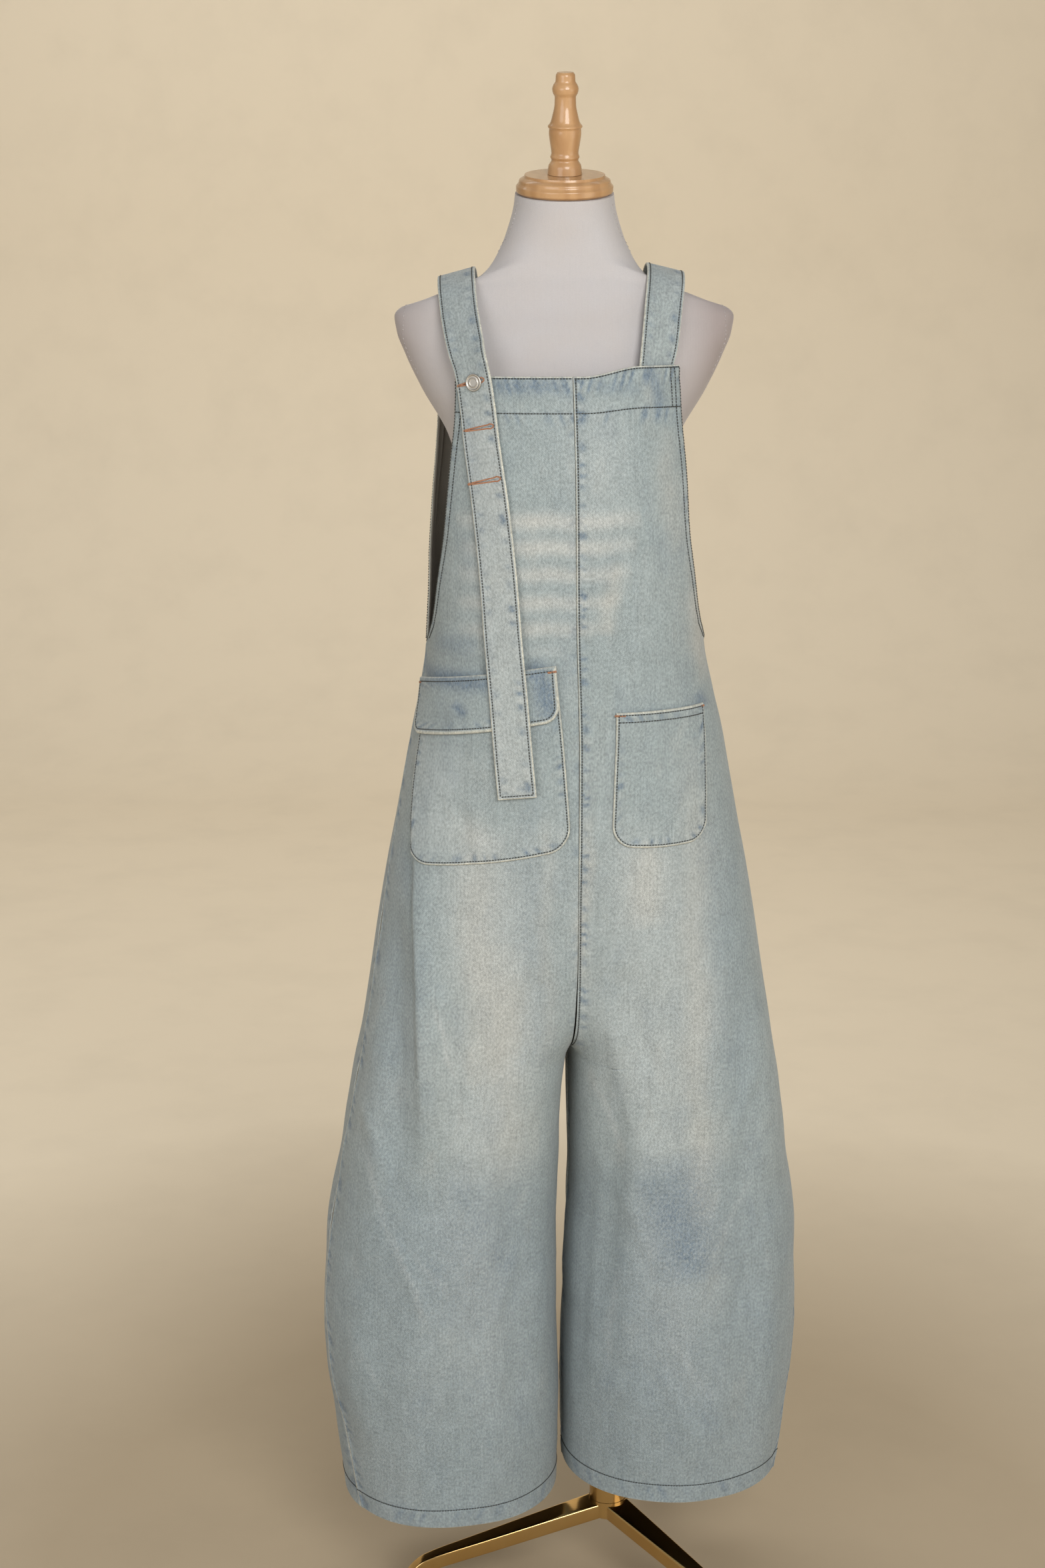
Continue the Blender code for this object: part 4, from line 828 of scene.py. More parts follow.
    def line(self, edge, inset, z_low, z_high):
        """A stitched line's places: how far in from the inner edge, and height."""
        inset = inset * MM
        if edge in ("hem", "top"):
            height = self.hem + inset if edge == "hem" else self.top - inset
            width = float(np.interp(height, self.heights, self.width))
            inwards = np.arange(1.2 * MM, width - 1.2 * MM, MM)
            return inwards, np.full(inwards.shape, height)
        height = np.arange(max(z_low, self.hem + MM), min(z_high, self.top - MM), MM)
        from_edge = inset / np.interp(height, self.heights, self.cosines[edge])
        if edge == "outer":
            from_edge = np.interp(height, self.heights, self.width) - from_edge
        return from_edge, height


def washed(points, face):
    """Pale, blue and beige strengths at places, from the streaks of the wash and the lower legs' blue;
    some of the blue is painted shade.

    A streak is a bell of the distance to the line between its two ends, times the square root of
    4t(1 - t) for a place t along it, so it fades out towards both. The places wander a little first.
    """
    x = points[..., 0] + 0.0030 * np.sin(41 * points[..., 2]) + 0.0012 * np.sin(133 * points[..., 2])
    z = points[..., 2] + 0.0010 * np.sin(67 * points[..., 0]) + 0.0005 * np.sin(171 * points[..., 0] + 1)
    strengths = []
    for streaks in WASH[face]:
        total = np.zeros(x.shape)
        for x_top, z_top, x_low, z_low, half_width, strength in streaks:
            run_x, run_z = x_low - x_top, z_low - z_top
            t = ((x - x_top) * run_x + (z - z_top) * run_z) / (run_x**2 + run_z**2)
            t = np.clip(t, 0, 1)
            apart = np.hypot(x - x_top - t * run_x, z - z_top - t * run_z)
            total += strength * bell(apart, half_width) * np.sqrt(4 * t * (1 - t))
        strengths.append(total)
    # The lower legs' blue: partly the denim's own, partly painted shade
    strengths[1] = strengths[1] + LEG_BLUE_AND_SHADE * ease(*LEG_BLUE_AND_SHADE_FROM_TO, z)
    return strengths


# ---------------------------------------------------------------- meshes


def new_object(name, points, faces, materials):
    """A smooth mesh object at the origin, from points and arrays of faces."""
    mesh = bpy.data.meshes.new(name)
    mesh.from_pydata(points.tolist(), [], [face for ring in faces for face in ring.tolist()])
    for finish in materials:
        mesh.materials.append(finish)
    mesh.shade_smooth()
    made = bpy.data.objects.new(name, mesh)
    bpy.context.scene.collection.objects.link(made)
    return made


def new_piece(name, points, faces, materials):
    """A piece of the object, with its faces turned out.

    The faces, one array for each run of faces with as many corners, go round each closed body one
    way. The volume is the sum of their corners' triple products, and all are reversed if it is below 0.
    """
    volume = 0.0
    for ring in faces:
        corner = points[ring] - points[faces[0][0, 0]]
        for i in range(1, ring.shape[1] - 1):
            volume += np.sum(corner[:, 0] * np.cross(corner[:, i], corner[:, i + 1]))
    if volume < 0:
        faces = [ring[:, ::-1] for ring in faces]
    made = new_object(name, points, faces, materials)
    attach(made, "root")
    return made


def cloth_wall(name, outer, inner, flat, marks, materials):
    """A closed cloth wall between two grids: the outer face, the inner one turned, and the rim.

    Its flat place in metres is its UV map, and its wash marks are a colour attribute.
    """
    rows, columns = outer.shape[:2]
    index = np.arange(rows * columns).reshape(rows, columns)
    face = np.stack((index[:-1, :-1], index[:-1, 1:], index[1:, 1:], index[1:, :-1]), axis=-1)
    face = face.reshape(-1, 4)
    rim = np.concatenate((index[0, :-1], index[:-1, -1], index[-1, :0:-1], index[:0:-1, 0]))
    after = np.roll(rim, -1)
    edge = np.stack((after, rim, rim + index.size, after + index.size), axis=-1)
    faces = np.concatenate((face, face[:, ::-1] + index.size, edge))
    points = np.concatenate((outer.reshape(-1, 3), inner.reshape(-1, 3)))
    made = new_piece(name, points, [faces], materials)
    mesh = made.data
    corners = np.zeros(len(mesh.loops), np.int32)
    mesh.loops.foreach_get("vertex_index", corners)
    places = np.concatenate((flat.reshape(-1, 2), flat.reshape(-1, 2)))
    uv = mesh.uv_layers.new(name="flat_cloth")
    uv.data.foreach_set("uv", places[corners].astype(np.float32).ravel())
    colour = mesh.attributes.new("wash", "FLOAT_COLOR", "POINT")
    both = np.concatenate((marks.reshape(-1, 4), marks.reshape(-1, 4)))
    colour.data.foreach_set("color", np.clip(both, 0, 1).astype(np.float32).ravel())
    reverse = np.zeros(len(faces), np.int32)
    reverse[len(face) : 2 * len(face)] = 1
    mesh.polygons.foreach_set("material_index", reverse)
    return made


def edge_drop(distance, thickness):
    """How far a rolled edge falls back at a distance from it: a quarter circle of half the thickness."""
    across = 1 - np.clip(distance / (thickness / 2), 0, 1)
    return 0.46 * thickness * (1 - np.sqrt(np.maximum(1 - across**2, 0.0)))


def panel(cloth, settings, materials):
    """One main panel: offsets from its edges by even steps between, on the panel's rows."""
    edge, width = np.array(EDGE_OFFSETS) * MM, cloth.width[:, None]
    middle = np.linspace(0, 1, MIDDLE_COLUMNS + 2)[1:-1]
    near_inner = np.broadcast_to(edge, (len(width), len(edge)))
    even = edge[-1] + (width - 2 * edge[-1]) * middle
    inwards = np.concatenate((near_inner, even, width - edge[::-1]), axis=1)
    height = np.broadcast_to(cloth.heights[:, None], inwards.shape)
    distances = {name: found[0] for name, found in cloth.from_edges(inwards, height).items()}
    hem, facing = (
        1 - ease(band - 0.4 * MM, band + 0.6 * MM, distances[name])
        for name, band in (("hem", HEM_BAND), ("top", BIB_FACING))
    )
    near_armhole = (1 - ease(*ARMHOLE_TURNING, distances["outer"])) * (height > UNDERARM_HEIGHT)
    turned = np.maximum(np.maximum(hem, facing), near_armhole)
    thickness = settings.thickness + (settings.turned_thickness - settings.thickness) * turned
    drop = edge_drop(np.minimum.reduce(list(distances.values())), thickness)
    outer, _ = cloth.at(inwards, height, -drop)
    inner, _ = cloth.at(inwards, height, drop - thickness)
    pale, blue, beige = washed(outer, cloth.face)
    _, seam_blue, seam_pale, worn, groove = cloth.worked(inwards, height)
    blue = blue + seam_blue * 1.5 + groove * GROOVE_BLUE
    marks = np.stack((pale + seam_pale * 0.5, blue, beige, worn), axis=-1)
    rightwards = SIDES[cloth.side] * FACES[cloth.face]
    flat = np.stack((rightwards * (inwards - cloth.grain[:, None]), height), axis=-1)
    made = cloth_wall(f"cloth_{cloth.face}_{cloth.side}", outer, inner, flat, marks, materials)
    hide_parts(f"{cloth.face}_{cloth.side}_panel")
    return made


# ---------------------------------------------------------------- pockets and flap


class Patch:
    """A pocket or flap laid on a front panel, as a surface of its flat places.

    A flat place is u across and v up from the patch's middle. The sides lean and the edges slope, so
    the place on the panel is u cos(slope) - v sin(lean) across and u sin(slope) + v cos(lean) up.
    """

    def __init__(self, name, cloth):
        sizes = dict(zip(PATCH_COLUMNS, PATCHES[name]))
        self.name, self.cloth = name, cloth
        self.across, self.middle, self.lift = sizes["across"], sizes["middle"], sizes["lift"]
        self.width, self.height = sizes["width"], sizes["tall"]
        self.half, self.tall = sizes["width"] / 2, sizes["tall"] / 2
        self.lean, self.slope = math.radians(sizes["lean"]), math.radians(sizes["slope"])
        self.belly, self.corner, self.inset = sizes["belly"], sizes["corner"], sizes["inset"]
        self.thickness = sizes["thickness"]

    def places(self, u, v):
        """Places on the panel: across from its middle, and up."""
        over = u * math.cos(self.slope) - v * math.sin(self.lean)
        up = u * math.sin(self.slope) + v * math.cos(self.lean)
        return self.across + SIDES[self.cloth.side] * over, self.middle + up

    def sag(self, u):
        """How far the lower edge bellies down at a place across."""
        return self.belly * (1 - (u / self.half) ** 2)

    def edge(self, u, v):
        """How far in from the outline each flat place lies.

        The distance in a box whose two lower corners are round, after the belly of its lower edge is
        straightened, and the distance from its upper edge where that is less.
        """
        straight = v + self.sag(u) * np.clip(-v / self.tall, 0, 1)
        out = np.abs(u) - (self.half - self.corner)
        down = -straight - (self.tall - self.corner)
        round_part = np.hypot(np.maximum(out, 0), np.maximum(down, 0))
        inside = self.corner - round_part - np.minimum(np.maximum(out, down), 0)
        return np.minimum(inside, self.tall - v)

    def grid(self):
        """A flat grid whose columns crowd towards the sides and whose lower edge is round."""
        even = np.linspace(-1, 1, int(self.width / PATCH_STEP))
        u = self.half * (0.55 * even + 0.45 * np.sin(even * math.pi / 2))
        from_side = np.minimum(self.half - np.abs(u), self.corner)
        beside = np.maximum(self.corner**2 - (self.corner - from_side) ** 2, 0.0)
        low = self.corner - np.sqrt(beside) - self.tall - self.sag(u)
        rise = np.linspace(0, 1, int(self.height / PATCH_STEP))
        rise = 0.7 * rise + 0.3 * (1 - np.cos(rise * math.pi)) / 2
        v = low + (self.tall - low) * rise[:, None]
        return np.broadcast_to(u, v.shape), v

    def worked(self, u, v):
        """Relief and marks: a rolled edge, a stitched groove, the turning that shows through as a low
        step, puckers along it and a mouth that stands off a little."""
        inside, from_top = self.edge(u, v), self.tall - v
        around = np.arctan2(u, -v * self.half / self.tall) * (self.half + self.tall) / 2
        pucker = irregular(around + 0.2 * inside, 14.0 * MM, 1.1 + len(self.name))
        hollow, crest = hollows_and_crests(pucker)
        near = bell(inside - self.inset - 3.5 * MM, 3.5 * MM)
        groove = bell(inside - self.inset, GROOVE_WIDTH)
        roll = bell(inside - 0.45 * self.inset, 0.5 * self.inset)
        turning = 1 - ease(9.5 * MM, 12.5 * MM, inside)
        relief = 0.30 * MM * roll + 0.26 * MM * near * pucker + 0.22 * MM * turning - 0.40 * MM * groove
        blue = near * hollow * 1.10 + groove * GROOVE_BLUE
        worn = (1 - ease(0.50 * self.inset, 0.75 * self.inset, inside)) * (0.70 + 0.16 * pucker)
        if self.name == "pocket_small":
            mouth = ease(0.2, 1.0, v / self.tall) * (1 - np.abs(u / self.half) ** 3)
            second = bell(from_top - SMALL_POCKET_HEM, GROOVE_WIDTH)
            hem = 1 - ease(SMALL_POCKET_HEM, SMALL_POCKET_HEM + MM, from_top)
            relief += 1.1 * MM * mouth + 0.3 * MM * hem - GROOVE_DEPTH * second
            blue += second * GROOVE_BLUE
        if self.name == "pocket_large":
            relief += 0.5 * MM * bell(v + 0.2 * self.tall, self.tall) * bell(u, self.half * 0.8)
            relief -= 0.9 * MM * bell(u + 0.022 - 0.05 * v, 8 * MM) * ease(0, 30 * MM, inside)
        if self.name == "pocket_flap":
            relief += 0.25 * MM * irregular(u + 0.4 * v, 0.034, 2.2) * ease(0, 12 * MM, inside)
            at_top = worn * (1 - ease(0.6 * MM, 1.4 * MM, inside))
            worn = np.where(from_top < inside + 0.05 * MM, at_top, worn)
        return relief, blue, near * crest * 0.35, worn, inside

    def made(self, materials):
        """The cloth: the flat grid laid on the panel, moved out by its lift and relief."""
        u, v = self.grid()
        relief, blue, pale, worn, inside = self.worked(u, v)
        across, height = self.places(u, v)
        drop = edge_drop(inside, self.thickness)
        outer, _ = self.cloth.at(across, height, self.lift + self.thickness + relief - drop)
        inner, _ = self.cloth.at(across, height, self.lift + np.minimum(relief, 0.0) + drop)
        wash_pale, wash_blue, beige = washed(outer, "front")
        marks = np.stack((wash_pale + pale, wash_blue + blue, beige, worn), axis=-1)
        flat = np.stack((SIDES[self.cloth.side] * across, height), axis=-1)
        made = cloth_wall(f"cloth_{self.name}", outer, inner, flat, marks, materials)
        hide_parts(self.name)
        return made

    def line(self, inset, part):
        """A stitched line's flat places: down one side, round the bottom and up the other, or straight
        across below the upper edge."""
        half, tall, corner = self.half, self.tall, self.corner
        if part == "top":
            u = np.arange(-half + self.inset, half - self.inset, MM)
            return u, np.full(u.shape, tall - inset)
        turn = np.linspace(0, math.pi / 2, 24)
        corner_u = half - corner + (corner - inset) * np.cos(turn)
        corner_v = -tall + corner - (corner - inset) * np.sin(turn)
        bottom_u = np.arange(half - corner, corner - half, -MM)
        side_v = np.arange(tall - self.inset, corner - tall, -MM)
        side_u = np.full(side_v.shape, half - inset)
        u = np.concatenate((side_u, corner_u, bottom_u, -corner_u[::-1], -side_u))
        bottom_v = np.full(bottom_u.shape, inset - tall)
        straight = np.concatenate((side_v, corner_v, bottom_v, corner_v[::-1], side_v[::-1]))
        return u, straight - self.sag(u) * np.clip(-straight / tall, 0, 1)

    def face(self, u, v):
        """Points and facings on the outer face."""
        lift = self.lift + self.thickness + self.worked(u, v)[0]
        return self.cloth.at(*self.places(u, v), lift)

    def bar_tacks(self):
        """Bar tacks: close threads laid side by side across a short line."""
        bars = []
        for owner, across, up, length in TACKS:
            if owner == self.name:
                u = across * self.half + np.linspace(-0.5, 0.5, 12) * length
                points, facings = self.face(u, np.full(u.shape, up * self.tall))
                pitch = np.linalg.norm(points[-1] - points[0]) / int(length / TACK_PITCH)
                middles, ahead, out = spaced(points, facings, pitch)
                bars.append(threads(middles, np.cross(ahead, out), out, *TACK_THREAD))
        return bars


# ---------------------------------------------------------------- straps


def section_row(plan, side, stretch, x, height, lift):
    """A place found by its x on a stretch of a section, as a point and a facing in one row."""
    feet = placed(side, plan.points[0, stretch], height)
    tips = placed(side, plan.points[0, stretch] + plan.normals[0, stretch], height)
    order = np.argsort(feet[:, 0])
    foot = vectors_at(x, feet[order, 0], feet[order])
    facing = unit(vectors_at(x, feet[order, 0], (tips - feet)[order]))
    return np.concatenate((foot + facing * lift, facing))


def front_row(x, height, lift):
    """The point of the front's plain outer face that lies at x, moved out, and the way it faces."""
    plan = Plan([height])
    middle = placed("left", plan.at(plan.start["front"][:, None])[0][0], height)[0]
    side = "left" if x > middle[0] else "right"
    reach = plan.INNER_STEPS + plan.OUTER_STEPS // 2
    return section_row(plan, side, slice(0, reach), x, height, lift)


def back_row(side, x, height, lift):
    """The point of the back's plain outer face that lies at x, moved out, and the way it faces."""
    plan = Plan([height])
    first = plan.INNER_STEPS + plan.OUTER_STEPS // 2
    return section_row(plan, side, slice(first, None), x, height, lift)


def shoulder_rows(points):
    """Rows of a route over a shoulder: each point, and the way the strap faces there."""
    points = np.array(points)
    up = np.maximum(points[:, 2] - SHOULDER_TURN_HEIGHT, 0.0) * SHOULDER_UPWARDS
    out = np.stack((points[:, 0] * SHOULDER_SIDEWAYS, points[:, 1], up), axis=-1)
    return list(np.concatenate((points, unit(out)), axis=1))


def strap_routes():
    """Both straps' routes: from the back panel over a shoulder, then down the front or in behind it."""
    lift = STRAP_SEAT + STRAP_CLOTH / 2
    behind = -(TURNED_DENIM + TUCKED_GAP + STRAP_CLOTH / 2)
    long_route = [back_row("right", x, z, lift) for x, z in LONG_STRAP_BACK]
    long_route.extend(shoulder_rows(LONG_STRAP_SHOULDER))
    long_route.extend(front_row(x, z, off) for x, z, off in LONG_STRAP_HANG)
    short_route = [back_row("left", x, z, lift) for x, z in SHORT_STRAP_BACK]
    short_route.extend(shoulder_rows(SHORT_STRAP_SHOULDER))
    short_route.extend(front_row(x, z, behind) for x, z in SHORT_STRAP_TUCKED)
    return {"strap_long": long_route, "strap_short": short_route}


class Strap:
    """A strap as a surface of two parameters: the length along its route and the place across it.

    The route is a cubic curve through its rows. The point is the route's own, plus the place across
    times the sideways unit, plus a lift times the way the strap faces.
    """

    def __init__(self, route):
        route = np.array(route)
        at = running_length(route[:, :3])
        where = np.linspace(0.0, at[-1], int(round(at[-1] / STRAP_STEP)) + 1)
        slope = np.gradient(route, at, axis=0)
        row, step, t = row_and_share(at, where)
        step, t = step[:, None], t[:, None]
        line = cubic(t, step, route[row], route[row + 1], slope[row], slope[row + 1])
        self.centre = line[:, :3]
        self.along = running_length(self.centre)
        self.length = float(self.along[-1])
        ahead = unit(np.gradient(self.centre, axis=0))
        self.across = unit(np.cross(ahead, line[:, 3:]))
        self.out = np.cross(self.across, ahead)

    def at(self, along, over, lift):
        """Points moved out by a lift from the strap's middle layer, and the way it faces."""
        along, over, lift = np.broadcast_arrays(along, over, lift)
        centre, side, out = (
            vectors_at(along, self.along, row) for row in (self.centre, self.across, self.out)
        )
        return centre + side * over[..., None] + out * lift[..., None], out

    def worked(self, along, over):
        """Relief and marks: rolled edges, a groove for the stitches, small puckers beside it, and painted
        shade over the shoulders.
        """
        inside = np.minimum(STRAP_WIDTH / 2 - np.abs(over), np.minimum(along, self.length - along))
        pucker = irregular(along + 0.3 * over, 18.0 * MM, 0.6 + np.sign(over))
        hollow, crest = hollows_and_crests(pucker)
        near = bell(inside - 8.0 * MM, 3.6 * MM) * np.where(over < 0, 1.0, 0.45)
        groove = bell(inside - STRAP_INSET, GROOVE_WIDTH)
        roll = bell(inside - 1.4 * MM, 1.5 * MM)
        relief = 0.22 * MM * roll + 0.20 * MM * near * pucker - 0.34 * MM * groove
        blue = near * hollow * 1.15 + groove * GROOVE_BLUE
        # Painted shade: the strap is less pale from its start on the back until just below the shoulder
        high, low = STRAP_PALE_AND_SHOULDER_SHADE
        pale = near * crest * 0.3 + high + (low - high) * ease(*STRAP_PALE_AND_SHOULDER_SHADE_FROM_TO, along)
        worn = (1 - ease(1.0 * MM, 1.6 * MM, inside)) * (0.74 + 0.16 * pucker)
        return relief, blue, pale, worn, inside

    def face(self, along, over):
        """Points and facings on the strap's outer face."""
        return self.at(along, over, STRAP_CLOTH / 2 + self.worked(along, over)[0])

    def length_at_height(self, height):
        """The length along the strap where its front part passes a height."""
        hanging = self.along > self.length * HANGING_FROM
        return float(np.interp(-height, -self.centre[hanging, 2], self.along[hanging]))

    def made(self, name, materials):
        """The cloth: close columns at its edges, close rows at its ends, even steps between."""
        edge, half = np.array(EDGE_OFFSETS[:8]) * MM, STRAP_WIDTH / 2
        inner = np.linspace(edge[-1] - half, half - edge[-1], STRAP_COLUMNS + 2)[1:-1]
        over = np.concatenate((edge - half, inner, half - edge[::-1]))
        rows = int(round(self.length / STRAP_STEP))
        even = np.linspace(edge[-1], self.length - edge[-1], rows)[1:-1]
        along = np.concatenate((edge, even, self.length - edge[::-1]))
        along, over = np.meshgrid(along, over, indexing="ij")
        relief, blue, pale, worn, inside = self.worked(along, over)
        drop = edge_drop(inside, STRAP_CLOTH)
        outer, _ = self.at(along, over, STRAP_CLOTH / 2 + relief - drop)
        back, _ = self.at(along, over, drop - STRAP_CLOTH / 2)
        marks = np.stack((pale, blue, np.full(blue.shape, STRAP_BEIGE), worn), axis=-1)
        flat = np.stack((-over, -along), axis=-1)
        made = cloth_wall(f"cloth_{name}", outer, back, flat, marks, materials)
        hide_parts(name)
        return made

    def sewn_lines(self, name):
        """Stitched lines along both edges, and across the long strap's loose end."""
        edge = STRAP_WIDTH / 2 - STRAP_INSET
        along = np.arange(STRAP_INSET, self.length - STRAP_INSET, MM)
        lines = [self.face(along, np.full(along.shape, over)) for over in (-edge, edge)]
        if name == "strap_long":
            over = np.arange(-edge, edge, MM)
            lines.append(self.face(np.full(over.shape, self.length - STRAP_INSET), over))
        return lines


# ---------------------------------------------------------------- threads


def spaced(points, facings, pitch):
    """Even places along a line of points: their middles, the ways ahead and the ways out."""
    along = running_length(points)
    count = max(int(along[-1] / pitch), 1)
    where = (np.arange(count) + 0.5) * along[-1] / count
    before, after = (vectors_at(where + off, along, points) for off in (-pitch / 3, pitch / 3))
    out = unit(vectors_at(where, along, facings))
    return vectors_at(where, along, points), unit(after - before), out


def threads(middles, ahead, out, length, radius):
    """Short rounded threads whose ends dive into the cloth, as points and faces.

    Ring r and side s lie at the middle + ahead * place_r * length / 2 + out * height_r * radius
    + (out cos s + beside sin s) * girth_r * radius.
    """
    beside = np.cross(ahead, out)
    turn = np.linspace(0, 2 * math.pi, THREAD_SIDES, endpoint=False)
    lengthways = ahead[:, None, :] * (THREAD_PLACES * length / 2)[:, None]
    raised = out[:, None, :] * (THREAD_HEIGHTS * radius)[:, None]
    rings = middles[:, None, :] + lengthways + raised
    cosine, sine = np.cos(turn)[:, None], np.sin(turn)[:, None]
    spoke = out[:, None, None, :] * cosine + beside[:, None, None, :] * sine
    points = rings[:, :, None, :] + spoke * (THREAD_GIRTHS * radius)[:, None, None]
    index = np.arange(len(THREAD_PLACES) * THREAD_SIDES).reshape(-1, THREAD_SIDES)
    following = np.roll(index, -1, axis=1)
    sleeve = np.stack((index[:-1], following[:-1], following[1:], index[1:]), axis=-1)
    first = (np.arange(len(middles)) * index.size)[:, None, None]
    quads = (sleeve.reshape(1, -1, 4) + first).reshape(-1, 4)
    caps = (np.stack((index[0, ::-1], index[-1]))[None] + first).reshape(-1, THREAD_SIDES)
    return points.reshape(-1, 3), [quads, caps]


def joined(parts):
    """Several meshes' points and faces as one."""
    counts = np.cumsum([0, *(len(points) for points, _ in parts)])
    faces = [ring + count for (_, rings), count in zip(parts, counts) for ring in rings]
    return np.concatenate([points for points, _ in parts]), faces


def sewn(name, lines, pitch, size, finish):
    """Running stitches along several lines, as one piece; their size is a length and a radius."""
    parts = [threads(*spaced(points, facings, pitch), *size) for points, facings in lines]
    return new_piece(name, *joined(parts), [finish])


def running_stitches(name, lines, settings):
    """Running stitches in the dungarees' own thread."""
    size = (settings.pitch * settings.share, settings.radius)
    return sewn(f"stitches_{name}", lines, settings.pitch, size, bpy.data.materials["thread_dark"])


# ---------------------------------------------------------------- turned and cast pieces


def turned_loops(profile, sides):
    """Rings of a turned piece on its own axis, from rows of radii and heights."""
    angle = np.linspace(0, 2 * math.pi, sides, endpoint=False)
    radius, height = np.array(profile).T[..., None]
    x, y = radius * np.cos(angle), radius * np.sin(angle)
    return np.stack((x, y, np.broadcast_to(height, x.shape)), axis=-1)


def tilted(loops, foot, tilt):
    """Loops leaned forwards by an angle, and moved to their foot."""
    x, y, z = np.moveaxis(loops, -1, 0)
    leaned = (x, y * math.cos(tilt) - z * math.sin(tilt), y * math.sin(tilt) + z * math.cos(tilt))
    return np.stack(leaned, axis=-1) + np.array(foot)


def stacked(loops):
    """Points and faces of a closed body through loops, with a flat face on each end."""
    index = np.arange(loops.shape[0] * loops.shape[1]).reshape(loops.shape[:2])
    beside = np.roll(index, -1, axis=1)
    faces = np.stack((index[:-1], beside[:-1], beside[1:], index[1:]), axis=-1)
    return loops.reshape(-1, 3), [faces.reshape(-1, 4), np.stack((index[0, ::-1], index[-1]))]


def rounded_profile(rows, steps):
    """A profile with its corners eased: each row moved a third of the way to its neighbours' mean,
    then a smooth curve through the result."""
    numbers = np.array(rows, float)
    numbers[1:-1] += (numbers[:-2] + numbers[2:] - 2 * numbers[1:-1]) / 9
    return finer(numbers, steps)


def form_surface(ring, angle):
    """A point of the form at a place along its rings and an angle round them.

    x = half width cos^(2/n), y = depth sin^(2/n), z = height - droop cos^2 + lean y.
    """
    rows = np.array(FORM_RINGS)
    ring, angle = np.broadcast_arrays(ring, angle)
    at = np.arange(len(rows), dtype=float)
    height, half_width, front, back, droop, tilt = (on_curve(at, column, ring) for column in rows.T)
    cosine, sine = np.cos(angle), np.sin(angle)
    x = half_width * bent(cosine, FORM_ROUND)
    y = np.where(sine < 0, -front, back) * bent(sine, FORM_ROUND)
    return np.stack((x, y, height - droop * cosine**2 + tilt * y), axis=-1)


def form_front(x, z):
    """Points on the form's front at an x and z, found by stepping along the rings and round them."""
    rows = np.array(FORM_RINGS)
    ring = np.interp(z, rows[:, 0], np.arange(len(rows)))
    for _ in range(FORM_SEARCH_STEPS):
        half_width = on_curve(np.arange(len(rows), dtype=float), rows[:, 1], ring)
        cosine = np.clip(np.abs(x) / half_width, 0, 0.999) ** (FORM_ROUND / 2)
        angle = -np.arccos(np.sign(x) * cosine)
        point = form_surface(ring, angle)
        ring = np.clip(ring + (z - point[..., 2]) * FORM_SEARCH_RATE, 0, len(rows) - 1)
    small = 1e-3
    tangent = form_surface(ring + small, angle) - form_surface(ring - small, angle)
    around = form_surface(ring, angle + small) - form_surface(ring, angle - small)
    facing = unit(np.cross(around, tangent))
    return point, np.where(facing[..., 1:2] > 0, -facing, facing)


def leg_loops(angle):
    """Sections of one leg: a squared oval carried along a path out from the hub and down at its tip."""
    reach, height, half_width, half_depth = finer(LEG_SECTIONS, LEG_STEPS).T[..., None]
    ahead_reach, ahead_height = np.gradient(reach, axis=0), np.gradient(height, axis=0)
    ahead_reach[-1], ahead_height[-1] = 0.0, -1.0
    length = np.hypot(ahead_reach, ahead_height)
    around = np.linspace(0, 2 * math.pi, LEG_SIDES, endpoint=False)
    sideways = half_width * bent(np.cos(around), LEG_ROUND)
    upwards = half_depth * bent(np.sin(around), LEG_ROUND)
    out = reach + upwards * (-ahead_height / length)
    z = height + upwards * (ahead_reach / length)
    x = COLUMN_PLACE[0] + out * math.cos(angle) - sideways * math.sin(angle)
    y = COLUMN_PLACE[1] + out * math.sin(angle) + sideways * math.cos(angle)
    return np.stack((x, y, z), axis=-1)


# ---------------------------------------------------------------- materials


